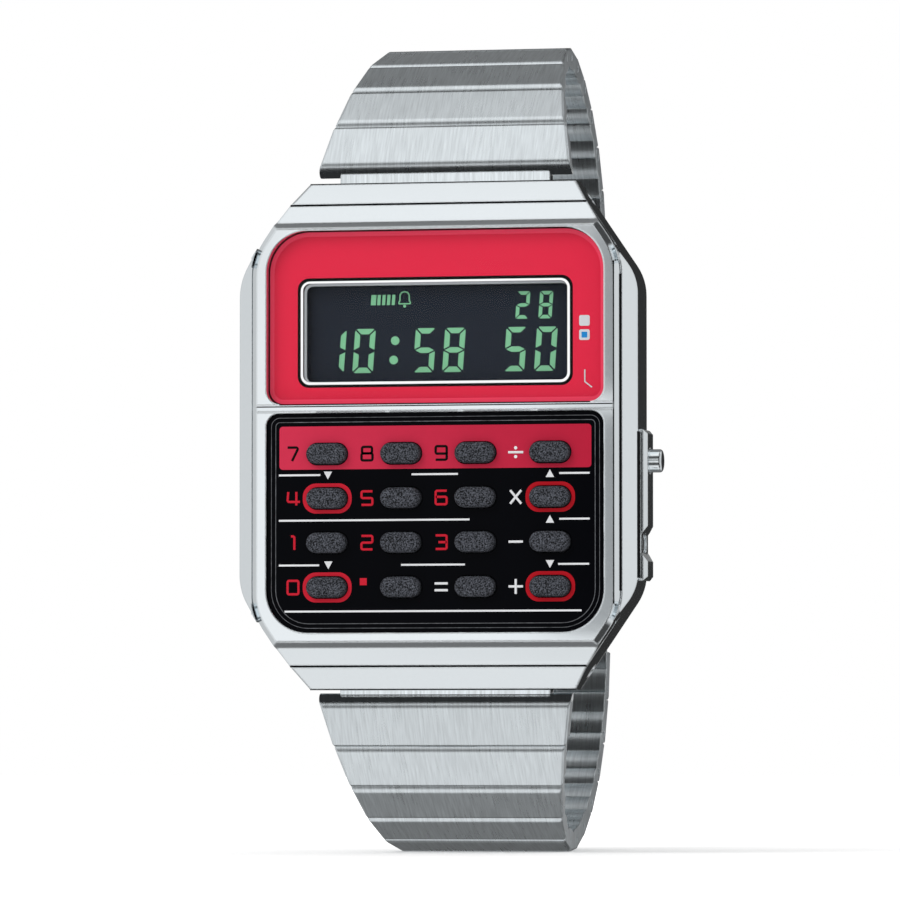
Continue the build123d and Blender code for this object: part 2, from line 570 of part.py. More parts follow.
# Keypad mat: one rubber sheet on the circuit board, with a dome under each key
dome_top = flange_top + KEY_FLANGE_THICK + KEY_TRAVEL + MAT_GAP
mat_top = board_depth - MAT_THICK
with BuildPart() as keypad_mat:
    mat_width = module_width - NOTCH_DEPTH * 2 - POCKET_FIT * 2
    extrude(keypad_area(front_plane(board_depth), mat_width, POCKET_FIT), amount=MAT_THICK)
    with BuildSketch(front_plane(mat_top)):
        with Locations(*key_places.values()):
            SlotOverall(KEY_LENGTH, KEY_HEIGHT)
    extrude(amount=mat_top - dome_top, taper=MAT_DOME_ANGLE)
save(keypad_mat, "keypad_mat")

# Circuit board with its chip, behind the display and the keypad mat
with BuildPart() as circuit_board:
    extrude(octagon(back_plane(board_depth), module_width - NOTCH_DEPTH * 2 - POCKET_FIT * 2,
                    module_height - MODULE_WALL * 2 - POCKET_FIT * 2, pocket_inset + POCKET_FIT,
                    CAVITY_CORNER_RADIUS, CAVITY_CORNER_RADIUS), amount=BOARD_THICK)
    with BuildSketch(front_plane(board_depth + BOARD_THICK)):
        with Locations((0, CHIP_Z)):
            Rectangle(CHIP_SIZE, CHIP_SIZE)
    extrude(amount=-CHIP_THICK)
save(circuit_board, "circuit_board")

# Battery: a coin cell against the back of the circuit board
battery_top = board_depth + BOARD_THICK
with BuildPart() as battery:
    with BuildSketch(front_plane(battery_top)):
        with Locations((0, BATTERY_Z)):
            Circle(BATTERY_DIAMETER / 2)
    extrude(amount=-BATTERY_THICK)
    chamfer(battery.faces().sort_by(Axis.Y)[0].edges(), BATTERY_RIM)
save(battery, "battery")

# Case gasket: the rubber ring in the rebate round the cavity
with BuildPart() as case_gasket:
    rings = []
    for grow in (GASKET_WIDTH - GASKET_FIT, GASKET_FIT):
        rings.append(octagon(front_plane(BACK_SEAT_DEPTH), CAVITY_WIDTH + grow * 2, CAVITY_HEIGHT + grow * 2,
                             CAVITY_CORNER_WALL - grow, CAVITY_CORNER_RADIUS + grow,
                             CAVITY_CORNER_RADIUS + grow))
    extrude(rings[0], amount=GASKET_THICK - GASKET_FIT)
    extrude(rings[1], amount=GASKET_THICK, mode=Mode.SUBTRACT)
save(case_gasket, "case_gasket")

# Case back: a flat steel plate with countersunk seats for its four corner screws
with BuildPart() as case_back:
    extrude(octagon(back_plane(BACK_SEAT_DEPTH), BACK_WIDTH, BACK_HEIGHT, BACK_CORNER_INSET,
                    BACK_CORNER_RADIUS, BACK_CORNER_RADIUS), amount=BACK_THICK)
    chamfer(case_back.faces().sort_by(Axis.Y)[-1].edges(), BACK_CHAMFER)
    with Locations(back_plane(CASE_THICK)):
        with GridLocations(BACK_SCREW_X * 2, BACK_SCREW_Z * 2, 2, 2):
            CounterBoreHole(radius=SCREW_RADIUS + SCREW_FIT, depth=BACK_THICK,
                            counter_bore_radius=SCREW_HEAD_RADIUS + SCREW_FIT,
                            counter_bore_depth=SCREW_HEAD_THICK)
save(case_back, "case_back")

# Case back screws: four slotted screws, their heads just under the back's face
with BuildPart() as case_back_screws:
    head_face = CASE_THICK - SCREW_FIT
    with BuildSketch(front_plane(head_face)):
        with GridLocations(BACK_SCREW_X * 2, BACK_SCREW_Z * 2, 2, 2):
            Circle(SCREW_HEAD_RADIUS)
    extrude(amount=SCREW_HEAD_THICK - SCREW_FIT)
    with BuildSketch(front_plane(CASE_THICK - SCREW_HEAD_THICK)):
        with GridLocations(BACK_SCREW_X * 2, BACK_SCREW_Z * 2, 2, 2):
            Circle(SCREW_RADIUS)
    extrude(amount=SCREW_LENGTH)
    with BuildSketch(front_plane(head_face)):
        with GridLocations(BACK_SCREW_X * 2, BACK_SCREW_Z * 2, 2, 2):
            for turn in (SCREW_SLOT_ANGLE, SCREW_SLOT_ANGLE + 90):
                Rectangle(SCREW_HEAD_RADIUS * 2, SCREW_SLOT_WIDTH, rotation=turn)
    extrude(amount=SCREW_SLOT_DEPTH, mode=Mode.SUBTRACT)
save(case_back_screws, "case_back_screws")

# Spring bars: one at each end, with thin tips in the lugs
with BuildPart() as spring_bars:
    for bar_radius, bar_half in ((SPRING_BAR_RADIUS, SPRING_BAR_LENGTH / 2),
                                 (SPRING_TIP_RADIUS, SPRING_TIP_REACH)):
        with BuildSketch(side_plane(0)):
            with Locations((SPRING_BAR_DEPTH - CASE_THICK, SPRING_BAR_Z),
                           (SPRING_BAR_DEPTH - CASE_THICK, -SPRING_BAR_Z)):
                Circle(bar_radius)
        extrude(amount=bar_half, both=True)
save(spring_bars, "spring_bars")

# Pushers: a polished head in the guard, a stem through the wall and a clip inside it
wall_in = CAVITY_WIDTH / 2
for name, z, head_radius, stem_radius, head_end in (
        ("mode_pusher", MODE_Z, MODE_RADIUS, MODE_STEM_RADIUS, CASE_SIDE + GUARD_RISE + MODE_REACH),
        ("adjust_pusher", ADJUST_Z, ADJUST_RADIUS, ADJUST_STEM_RADIUS,
         CASE_SIDE + GUARD_RISE - DIP_DEPTH - ADJUST_SUNK)):
    travel = MODE_TRAVEL if name == "mode_pusher" else ADJUST_TRAVEL
    head_start = CASE_SIDE + GUARD_RISE - PUSHER_SEAT_DEPTH + travel + PUSHER_FIT
    with BuildPart() as pusher:
        with BuildSketch(side_plane(head_start)):
            with Locations((pusher_y, z)):
                Circle(head_radius)
        extrude(amount=head_end - head_start)
        fillet(pusher.faces().sort_by(Axis.X)[-1].edges(), PUSHER_ROUNDING)
        for start, end, radius in ((wall_in - CLIP_GAP - CLIP_THICK - STEM_END, head_start, stem_radius),
                                   (wall_in - CLIP_GAP - CLIP_THICK, wall_in - CLIP_GAP, CLIP_RADIUS)):
            with BuildSketch(side_plane(start)):
                with Locations((pusher_y, z)):
                    Circle(radius)
            extrude(amount=end - start)
    save(pusher, name)


def chain(start_z, first_tilt, turn, count, side):
    """The pins and tilts of one half of the bracelet. Side is 1 for 12 o'clock and -1 for 6."""
    y, z = SPRING_BAR_DEPTH - CASE_THICK, start_z * side
    pins, tilts = [(y, z)], []
    for number in range(count):
        tilt = math.radians(first_tilt + turn * number)
        y += LINK_PITCH * math.sin(tilt)
        z += LINK_PITCH * math.cos(tilt) * side
        pins.append((y, z))
        tilts.append(first_tilt + turn * number)
    return pins, tilts


def link_plane(pin, tilt, side):
    """A link's own plane: its sketch runs from near pin to far pin, and away from the wrist."""
    run = (0, math.sin(math.radians(tilt)), math.cos(math.radians(tilt)) * side)
    return Plane(origin=(0, pin[0], pin[1]), x_dir=run, z_dir=(side, 0, 0))


def bracelet_width(number):
    """The width of the bracelet at the near edge of a link, counted from 0 at the case."""
    taper = max(0, 1 - number / TAPERING_LINKS)
    return BRACELET_END_WIDTH + (BRACELET_START_WIDTH - BRACELET_END_WIDTH) * taper ** 2


def link_profile(plane):
    """The side of a link: a round nose, a flat outer face, a hollow far end, a waved inner face."""
    hollow = LINK_HALF + LINK_GAP
    tip = LINK_PITCH - math.sqrt(hollow ** 2 - LINK_HALF ** 2) - LINK_TIP_SHORT
    with BuildSketch(plane) as profile:
        with BuildLine():
            Line((0, LINK_HALF), (tip, LINK_HALF))
            ThreePointArc((tip, LINK_HALF), (LINK_PITCH - hollow, 0), (tip, -LINK_HALF))
            groove = (tip / 2, LINK_INNER_GROOVE - LINK_HALF)
            ThreePointArc((tip, -LINK_HALF), (tip * 3 / 4, -LINK_HALF), groove)
            ThreePointArc(groove, (tip / 4, -LINK_HALF), (0, -LINK_HALF))
            ThreePointArc((0, -LINK_HALF), (-LINK_HALF, 0), (0, LINK_HALF))
        make_face()
    return profile.sketch


def nose_slot(plane):
    """What the nose of a piece gives up for the knuckle of the piece before it."""
    with BuildSketch(plane) as slot:
        Circle(KNUCKLE_RADIUS + KNUCKLE_GAP)
        with BuildLine():
            low = -LINK_HALF - KNUCKLE_GAP
            high = LINK_HALF - LIP_SKIN
            Polyline([(0, low), (0, high), (low, high), (low, low)], close=True)
        make_face()
    return slot.sketch


def disc(plane, radius, along=0.0):
    """A round section across the bracelet, at a distance along a link's plane."""
    with BuildSketch(plane) as circle:
        with Locations((along, 0)):
            Circle(radius)
    return circle.sketch


def link_trim(plane, near_width, far_width, length):
    """The tapering block that a link is cut from, with its outer side edges broken."""
    slope_share = (far_width - near_width) / 2 / (length + LINK_HALF)
    near, far = -LINK_HALF * 2, length + LINK_HALF
    near_half = near_width / 2 + slope_share * (near + LINK_HALF)
    far_half = near_width / 2 + slope_share * (far + LINK_HALF)
    shoulder = LINK_HALF - LINK_EDGE_CHAMFER
    with BuildPart() as trim:
        for lift, height, taper in ((-LINK_THICK, LINK_THICK + shoulder, 0.0),
                                    (shoulder, LINK_HALF, BREAK_ANGLE)):
            outward = Plane(origin=plane.origin + plane.y_dir * lift, x_dir=plane.x_dir, z_dir=plane.y_dir)
            with BuildSketch(outward):
                with BuildLine():
                    Polyline([(near, -near_half), (far, -far_half), (far, far_half), (near, near_half)],
                             close=True)
                make_face()
            extrude(amount=height, taper=taper)
    return trim.part


# Bracelet: each link turns on a pin in the knuckle of the link before it
for half, side, start_z, first_tilt, turn, count in (
        ("upper", 1, UPPER_START_Z, UPPER_FIRST_ANGLE, UPPER_TURN_ANGLE, UPPER_LINKS),
        ("lower", -1, LOWER_START_Z, LOWER_FIRST_ANGLE, LOWER_TURN_ANGLE, LOWER_LINKS)):
    pins, tilts = chain(start_z, first_tilt, turn, count, side)
    for number in range(count):
        plane = link_plane(pins[number], tilts[number], side)
        near_width, far_width = bracelet_width(number), bracelet_width(number + 1)
        with BuildPart() as link:
            extrude(link_profile(plane), amount=near_width / 2, both=True)
            add(link_trim(plane, near_width, far_width, LINK_PITCH), mode=Mode.INTERSECT)
            # Knuckle at the far end, on a web from the hollow
            with BuildSketch(plane):
                with Locations((LINK_PITCH - LINK_THICK / 2, 0)):
                    Rectangle(LINK_THICK, WEB_THICK)
                with Locations((LINK_PITCH, 0)):
                    Circle(KNUCKLE_RADIUS)
            extrude(amount=KNUCKLE_WIDTH / 2, both=True)
            extrude(disc(plane, LINK_PIN_RADIUS + LINK_PIN_RUNNING, LINK_PITCH), amount=KNUCKLE_WIDTH,
                    both=True, mode=Mode.SUBTRACT)
            if number == 0:
                # The first link ends in a tongue and a barrel round the spring bar
                tongue_plane = link_plane((SPRING_BAR_DEPTH - CASE_THICK, SPRING_BAR_Z * side), 0.0, side)
                tongue_length = start_z - SPRING_BAR_Z
                with BuildSketch(tongue_plane):
                    with Locations((tongue_length / 2, 0)):
                        Rectangle(tongue_length, TONGUE_THICK)
                    Circle(BARREL_RADIUS)
                extrude(amount=TONGUE_WIDTH / 2, both=True)
                extrude(disc(tongue_plane, SPRING_BAR_RADIUS + BARREL_FIT), amount=TONGUE_WIDTH, both=True,
                        mode=Mode.SUBTRACT)
            else:
                extrude(nose_slot(plane), amount=KNUCKLE_WIDTH / 2 + KNUCKLE_GAP, both=True,
                        mode=Mode.SUBTRACT)
                extrude(disc(plane, LINK_PIN_RADIUS + LINK_PIN_FIT), amount=near_width, both=True,
                        mode=Mode.SUBTRACT)
                pin_half = near_width / 2 - LINK_GAP - LINK_PIN_SUNK
                extrude(disc(plane, LINK_PIN_RADIUS), amount=pin_half, both=True)
        save(link, f"{half}_link_{number + 1:02d}")

# The clasp lies on the line between the two halves' last pins
upper_pins, upper_tilts = chain(UPPER_START_Z, UPPER_FIRST_ANGLE, UPPER_TURN_ANGLE, UPPER_LINKS, 1)
lower_pins, lower_tilts = chain(LOWER_START_Z, LOWER_FIRST_ANGLE, LOWER_TURN_ANGLE, LOWER_LINKS, -1)
span_y = lower_pins[-1][0] - upper_pins[-1][0]
span_z = lower_pins[-1][1] - upper_pins[-1][1]
clasp_span = math.hypot(span_y, span_z)
clasp_tilt = math.degrees(math.atan2(span_y, span_z))
clasp_plane = link_plane(upper_pins[-1], clasp_tilt, 1)
end_plane = link_plane(lower_pins[-1], 360.0 - clasp_tilt, -1)


def clasp_block(plane, start, end, low, high, half_width):
    """A straight block of the clasp, given along, and away from the wrist."""
    with BuildSketch(plane) as block:
        with Locations(((start + end) / 2, (low + high) / 2)):
            Rectangle(end - start, high - low)
    return extrude(block.sketch, amount=half_width, both=True, mode=Mode.PRIVATE)


def hinge_eye(plane, along, radius):
    """A round section at a clasp hinge."""
    with BuildSketch(plane) as eye:
        with Locations((along, PLATE_HINGE_LIFT)):
            Circle(radius)
    return eye.sketch


# Clasp frame: a channel with two pairs of ears, hinged to the last upper link
clasp_half = CLASP_WIDTH / 2
ear_in = PLATE_BARREL_LENGTH / 2 + EAR_GAP
with BuildPart() as clasp_frame:
    extrude(disc(clasp_plane, LINK_HALF), amount=clasp_half, both=True)
    add(clasp_block(clasp_plane, 0, CLASP_LENGTH, -LINK_HALF, CLASP_BASE_THICK - LINK_HALF, clasp_half))
    add(clasp_block(clasp_plane, 0, LINK_HALF, -LINK_HALF, LINK_HALF / 2, clasp_half))
    for side in (1, -1):
        with BuildSketch(clasp_plane.offset(side * (clasp_half - CLASP_WALL / 2))):
            with Locations((CLASP_LENGTH / 2, (CLASP_WALL_TOP - LINK_HALF) / 2)):
                Rectangle(CLASP_LENGTH, CLASP_WALL_TOP + LINK_HALF)
        extrude(amount=CLASP_WALL / 2, both=True)
        for hinge in (COVER_HINGE, LEVER_HINGE):
            with BuildSketch(clasp_plane.offset(side * (ear_in + EAR_WIDTH / 2))):
                with Locations((hinge, PLATE_HINGE_LIFT)):
                    Circle(PLATE_BARREL_RADIUS)
                with Locations((hinge, (PLATE_HINGE_LIFT - LINK_HALF) / 2)):
                    Rectangle(PLATE_BARREL_RADIUS * 2, PLATE_HINGE_LIFT + LINK_HALF)
            extrude(amount=EAR_WIDTH / 2, both=True)
    for hinge in (COVER_HINGE, LEVER_HINGE):
        extrude(hinge_eye(clasp_plane, hinge, PLATE_PIN_RADIUS + LINK_PIN_FIT), amount=clasp_half, both=True,
                mode=Mode.SUBTRACT)
        extrude(hinge_eye(clasp_plane, hinge, PLATE_PIN_RADIUS), amount=ear_in + EAR_WIDTH, both=True)
    extrude(nose_slot(clasp_plane), amount=KNUCKLE_WIDTH / 2 + KNUCKLE_GAP, both=True, mode=Mode.SUBTRACT)
    extrude(disc(clasp_plane, LINK_PIN_RADIUS + LINK_PIN_FIT), amount=clasp_half, both=True,
            mode=Mode.SUBTRACT)
    extrude(disc(clasp_plane, LINK_PIN_RADIUS), amount=clasp_half - LINK_PIN_SUNK, both=True)
save(clasp_frame, "clasp_frame")

# Clasp cover and locking lever: plates that fold outwards on the frame's ears
plate_low = CLASP_WALL_TOP + PLATE_GAP
plate_high = plate_low + PLATE_THICK
plate_start = PLATE_BARREL_RADIUS + PLATE_CLEARANCE
for name, hinge, length in (("clasp_cover", COVER_HINGE, COVER_LENGTH),
                            ("clasp_lever", LEVER_HINGE, LEVER_LENGTH)):
    with BuildPart() as folding_plate:
        add(clasp_block(clasp_plane, hinge + plate_start, hinge + length, plate_low, plate_high, clasp_half))
        add(clasp_block(clasp_plane, hinge, hinge + plate_start * 2, plate_low, plate_high,
                        PLATE_BARREL_LENGTH / 2))
        extrude(hinge_eye(clasp_plane, hinge, PLATE_BARREL_RADIUS), amount=PLATE_BARREL_LENGTH / 2, both=True)
        extrude(hinge_eye(clasp_plane, hinge, PLATE_PIN_RADIUS + PLATE_PIN_RUNNING), amount=clasp_half,
                both=True, mode=Mode.SUBTRACT)
        if name == "clasp_cover":
            for side in (1, -1):
                skirt_centre = side * (clasp_half + EAR_GAP + COVER_SKIRT / 2)
                skirt_middle = hinge + (COVER_SKIRT_START + length) / 2
                with BuildSketch(clasp_plane.offset(skirt_centre)):
                    with Locations((skirt_middle, plate_high - COVER_SKIRT_DROP / 2)):
                        Rectangle(length - COVER_SKIRT_START, COVER_SKIRT_DROP)
                extrude(amount=COVER_SKIRT / 2, both=True)
                with BuildSketch(clasp_plane.offset(side * (clasp_half + EAR_GAP / 2))):
                    with Locations((skirt_middle, (plate_low + plate_high) / 2)):
                        Rectangle(length - COVER_SKIRT_START, PLATE_THICK)
                extrude(amount=EAR_GAP / 2, both=True)
        else:
            with BuildSketch(clasp_plane):
                with Locations((hinge + length, plate_high)):
                    Circle(PLATE_THICK / 2)
            extrude(amount=LEVER_LIFT_NOTCH, both=True, mode=Mode.SUBTRACT)
    save(folding_plate, name)

# End plate: the last piece of the lower half, which meets the clasp end to end
end_length = clasp_span - CLASP_LENGTH - CLASP_BUTT_GAP
with BuildPart() as end_plate:
    extrude(disc(end_plane, LINK_HALF), amount=clasp_half, both=True)
    add(clasp_block(end_plane, 0, end_length, -LINK_HALF, LINK_HALF, clasp_half))
    extrude(nose_slot(end_plane), amount=KNUCKLE_WIDTH / 2 + KNUCKLE_GAP, both=True, mode=Mode.SUBTRACT)
    extrude(disc(end_plane, LINK_PIN_RADIUS + LINK_PIN_FIT), amount=clasp_half, both=True, mode=Mode.SUBTRACT)
    extrude(disc(end_plane, LINK_PIN_RADIUS), amount=clasp_half - LINK_PIN_SUNK, both=True)
save(end_plate, "end_plate")

print("upper pins", [(round(y, 3), round(z, 3)) for y, z in upper_pins])
print("lower pins", [(round(y, 3), round(z, 3)) for y, z in lower_pins])
print("clasp span", round(clasp_span, 3), "tilt", round(clasp_tilt, 2), "end plate", round(end_length, 3))
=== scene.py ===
import math

import bmesh
import bpy
from mathutils import Matrix, Vector


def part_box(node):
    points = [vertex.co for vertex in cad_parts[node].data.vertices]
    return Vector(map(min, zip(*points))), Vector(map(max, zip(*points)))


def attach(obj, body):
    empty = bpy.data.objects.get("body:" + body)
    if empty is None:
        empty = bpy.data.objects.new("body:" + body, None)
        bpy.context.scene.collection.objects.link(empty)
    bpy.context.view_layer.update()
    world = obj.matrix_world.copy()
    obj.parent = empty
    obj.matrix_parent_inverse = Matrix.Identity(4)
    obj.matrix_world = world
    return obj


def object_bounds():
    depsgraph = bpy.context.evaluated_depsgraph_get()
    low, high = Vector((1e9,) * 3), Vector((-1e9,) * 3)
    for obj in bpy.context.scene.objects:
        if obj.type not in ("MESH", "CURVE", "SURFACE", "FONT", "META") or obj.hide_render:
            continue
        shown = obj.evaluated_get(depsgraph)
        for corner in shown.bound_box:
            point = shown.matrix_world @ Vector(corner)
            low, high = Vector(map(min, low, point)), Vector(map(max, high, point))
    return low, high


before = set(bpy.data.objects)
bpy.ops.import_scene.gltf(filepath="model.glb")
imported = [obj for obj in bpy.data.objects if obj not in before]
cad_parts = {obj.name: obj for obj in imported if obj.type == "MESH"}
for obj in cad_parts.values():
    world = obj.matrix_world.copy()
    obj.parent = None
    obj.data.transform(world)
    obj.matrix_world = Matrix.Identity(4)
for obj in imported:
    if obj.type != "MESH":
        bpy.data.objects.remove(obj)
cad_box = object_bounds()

# Camera: a long lens, a little towards 3 o'clock and just below the dial, as
# the photograph was taken. It aims at the bezel's flat front, which lies
# behind the raised bar between the windows.
MM = 0.001
VIEW_AZIMUTH = math.radians(12.3)
VIEW_ELEVATION = math.radians(-2.5)
VIEW_DISTANCE = 600 * MM
VIEW_LENS = 285.0
VIEW_RIGHT = 1.35 * MM
VIEW_DOWN = 1.38 * MM
NEAREST = 50 * MM
FURTHEST = 20.0
BAR_RISE = 0.12 * MM

scene = bpy.context.scene
scene.view_settings.view_transform = "Standard"
dial_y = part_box("bezel")[0].y + BAR_RISE
view_back = Vector((math.sin(VIEW_AZIMUTH) * math.cos(VIEW_ELEVATION),
                    -math.cos(VIEW_AZIMUTH) * math.cos(VIEW_ELEVATION), math.sin(VIEW_ELEVATION)))
view_right = Vector((math.cos(VIEW_AZIMUTH), math.sin(VIEW_AZIMUTH), 0))
view_up = view_back.cross(view_right)
camera = bpy.data.objects.new("camera", bpy.data.cameras.new("camera"))
camera.data.lens = VIEW_LENS
camera.data.clip_start = NEAREST
camera.data.clip_end = FURTHEST
place = Vector((0, dial_y, 0)) + view_back * VIEW_DISTANCE
place = place + view_right * VIEW_RIGHT - view_up * VIEW_DOWN
turn = Matrix((view_right, view_up, view_back)).transposed().to_4x4()
camera.matrix_world = Matrix.Translation(place) @ turn
scene.collection.objects.link(camera)
scene.camera = camera

# Studio: a white room, and a white floor under the lowest link of the
# bracelet. Diffuse surfaces get a little less of the room's light than what
# is seen, and a soft lamp at the upper left gives the rest.
ROOM_MATT_LEVEL = 0.8
FLOOR_SIZE = 6.0
FLOOR_WHITE = 0.94
FLOOR_ROUGHNESS = 0.9
FLOOR_LIFT = (0.16, 0.7)
FLOOR_LIFT_REACH = (40 * MM, 130 * MM)
LAMP_SIZE = 300 * MM
LAMP_PLACE = Vector((-260, -420, 380)) * MM
LAMP_POWER = 1.3


def math_node(tree, operation, a, b=0.0):
    """A Math node fed by sockets or numbers, and its result."""
    node = tree.nodes.new("ShaderNodeMath")
    node.operation = operation
    for slot, source in enumerate((a, b)):
        if isinstance(source, (int, float)):
            node.inputs[slot].default_value = source
        else:
            tree.links.new(source, node.inputs[slot])
    return node.outputs["Value"]


def range_node(tree, source, low, high, to_low=0.0, to_high=1.0):
    """A clamped Map Range from a socket, and its result."""
    node = tree.nodes.new("ShaderNodeMapRange")
    tree.links.new(source, node.inputs["Value"])
    for slot, value in (("From Min", low), ("From Max", high), ("To Min", to_low), ("To Max", to_high)):
        node.inputs[slot].default_value = value
    return node.outputs["Result"]


def object_place(tree):
    """The object coordinates: the whole vector, then its X, Y and Z."""
    place = tree.nodes.new("ShaderNodeTexCoord")
    parts = tree.nodes.new("ShaderNodeSeparateXYZ")
    tree.links.new(place.outputs["Object"], parts.inputs["Vector"])
    return place.outputs["Object"], parts.outputs["X"], parts.outputs["Y"], parts.outputs["Z"]


def surface(name):
    """A new material and its shader."""
    material = bpy.data.materials.new(name)
    material.use_nodes = True
    return material, material.node_tree.nodes["Principled BSDF"]


def add_mesh(name, vertices, faces, material, body=None):
    """A new piece from points and faces, riding on a body or standing in the studio."""
    data = bpy.data.meshes.new(name)
    data.from_pydata([tuple(v) for v in vertices], [], faces)
    data.materials.append(material)
    piece = bpy.data.objects.new(name, data)
    scene.collection.objects.link(piece)
    if body:
        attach(piece, body)
    return piece


def card(name, corner, side_a, side_b, material):
    """A flat studio card, from a corner and its two sides."""
    points = [corner, corner + side_a, corner + side_a + side_b, corner + side_b]
    return add_mesh(name, points, [(0, 1, 2, 3)], material)


world = bpy.data.worlds.new("white_room")
world.use_nodes = True
scene.world = world
room = world.node_tree
ray = room.nodes.new("ShaderNodeLightPath")
level = range_node(room, ray.outputs["Is Diffuse Ray"], 0.0, 1.0, 1.0, ROOM_MATT_LEVEL)
room.links.new(level, room.nodes["Background"].inputs["Strength"])
room.nodes["Background"].inputs["Color"].default_value = (1, 1, 1, 1)

floor_paint, shader = surface("white_floor")
shader.inputs["Base Color"].default_value = (FLOOR_WHITE, FLOOR_WHITE, FLOOR_WHITE, 1)
shader.inputs["Roughness"].default_value = FLOOR_ROUGHNESS
shader.inputs["Specular IOR Level"].default_value = 0.0
shader.inputs["Emission Color"].default_value = (1, 1, 1, 1)
tree = floor_paint.node_tree
ray = tree.nodes.new("ShaderNodeLightPath")
where, _, _, _ = object_place(tree)
reach = tree.nodes.new("ShaderNodeVectorMath")
reach.operation = "LENGTH"
tree.links.new(where, reach.inputs[0])
lift = range_node(tree, reach.outputs["Value"], *FLOOR_LIFT_REACH, *FLOOR_LIFT)
seen = math_node(tree, "MULTIPLY", lift, ray.outputs["Is Camera Ray"])
tree.links.new(seen, shader.inputs["Emission Strength"])
floor_z = cad_box[0][2]
floor = card("floor", Vector((-FLOOR_SIZE / 2, -FLOOR_SIZE / 2, floor_z)), Vector((FLOOR_SIZE, 0, 0)),
             Vector((0, FLOOR_SIZE, 0)), floor_paint)
floor.visible_glossy = False
lamp = bpy.data.objects.new("soft_lamp", bpy.data.lights.new("soft_lamp", "AREA"))
lamp.data.size = LAMP_SIZE
lamp.data.energy = LAMP_POWER
lamp.location = LAMP_PLACE
lamp.rotation_euler = LAMP_PLACE.to_track_quat("Z", "Y").to_euler()
lamp.visible_glossy = False
scene.collection.objects.link(lamp)

# Light tent: what polished steel mirrors in any photograph of it. It is bright
# in front, but for a dark ring, and dark behind, but for large white panels at
# the sides. Only glossy rays see it.
TENT_RADIUS = 460 * MM
TENT_TONES = ((0, 0.97), (16, 0.97), (22, 0.09), (44, 0.09), (51, 0.95), (92.5, 0.95), (98, 0.2),
              (148, 0.2), (155, 0.03), (168.5, 0.03), (171, 0.5), (180, 0.5))
TENT_LEFT_PANEL = (-0.3, -0.44, 0.95)
TENT_BACK_PANELS = (0.42, 0.6, 0.8)
TENT_RIGHT_SHADE = (0.28, 0.33, 0.79, 0.83, 0.08)
TENT_SIDE_LOSS = 0.27
TENT_FLOOR_LOSS = 0.12
TENT_FLOOR_FROM = -0.9
TENT_FACES = (64, 32)
TENT_TINT = (1, 1.005, 1.01)


def grey_ramp(tree, source, tones):
    """A ramp of greys along a socket that runs from 0 to 1."""
    node = tree.nodes.new("ShaderNodeValToRGB")
    stops = node.color_ramp.elements
    for number, (place, grey) in enumerate(tones):
        stop = stops[0] if number == 0 else stops[-1] if number == len(tones) - 1 else stops.new(place)
        stop.position = place
        stop.color = (grey, grey, grey, 1)
    tree.links.new(source, node.inputs["Fac"])
    return node.outputs["Color"]


def mirrored(name, tint, strength=0.0):
    """A material that only shines, at a given strength or at one that nodes give later."""
    material, shader = surface(name)
    shader.inputs["Base Color"].default_value = (0, 0, 0, 1)
    shader.inputs["Specular IOR Level"].default_value = 0.0
    shader.inputs["Emission Color"].default_value = (*tint, 1)
    shader.inputs["Emission Strength"].default_value = strength
    material.cycles.emission_sampling = "NONE"
    return material, shader


def for_gloss_only(piece):
    """Hide a studio piece from all rays but glossy ones."""
    piece.visible_camera = False
    piece.visible_diffuse = False
    piece.visible_shadow = False
    piece.visible_transmission = False


tent_paint, shader = mirrored("light_tent", TENT_TINT)
tree = tent_paint.node_tree
where, _, _, _ = object_place(tree)
aim = tree.nodes.new("ShaderNodeVectorMath")
aim.operation = "NORMALIZE"
tree.links.new(where, aim.inputs[0])
parts = tree.nodes.new("ShaderNodeSeparateXYZ")
tree.links.new(aim.outputs["Vector"], parts.inputs["Vector"])
turn = math_node(tree, "ARCCOSINE", math_node(tree, "MULTIPLY", parts.outputs["Y"], -1.0))
tones = [(angle / 180, grey) for angle, grey in TENT_TONES]
tone = grey_ramp(tree, math_node(tree, "DIVIDE", turn, math.pi), tones)
behind = math_node(tree, "GREATER_THAN", parts.outputs["Y"], 0.0)
start, end, level = TENT_LEFT_PANEL
left = range_node(tree, math_node(tree, "MULTIPLY", parts.outputs["X"], -1.0), -start, -end, 0.0, level)
left = math_node(tree, "MULTIPLY", left, math_node(tree, "SUBTRACT", 1.0, behind))
start, end, level = TENT_BACK_PANELS
back = range_node(tree, math_node(tree, "ABSOLUTE", parts.outputs["X"]), start, end, 0.0, level)
back = math_node(tree, "MULTIPLY", back, behind)
start, dark_start, dark_end, end, level = TENT_RIGHT_SHADE
right = math_node(tree, "MAXIMUM", range_node(tree, parts.outputs["X"], start, dark_start, 1.0, level),
                  range_node(tree, parts.outputs["X"], dark_end, end, level, 1.0))
tone = math_node(tree, "MULTIPLY", tone, math_node(tree, "MAXIMUM", right, behind))
tone = math_node(tree, "MAXIMUM", math_node(tree, "MAXIMUM", tone, left), back)
sideways = math_node(tree, "POWER", parts.outputs["X"], 2.0)
keep = range_node(tree, sideways, 0.0, 1.0, 1.0, 1 - TENT_SIDE_LOSS)
low = range_node(tree, parts.outputs["Z"], TENT_FLOOR_FROM, 0.0, 1 - TENT_FLOOR_LOSS, 1.0)
tone = math_node(tree, "MULTIPLY", math_node(tree, "MULTIPLY", tone, keep), low)
tree.links.new(tone, shader.inputs["Emission Strength"])
shell = bmesh.new()
bmesh.ops.create_uvsphere(shell, u_segments=TENT_FACES[0], v_segments=TENT_FACES[1], radius=TENT_RADIUS)
data = bpy.data.meshes.new("light_tent")
shell.to_mesh(data)
shell.free()
data.materials.append(tent_paint)
tent = bpy.data.objects.new("light_tent", data)
scene.collection.objects.link(tent)
for_gloss_only(tent)

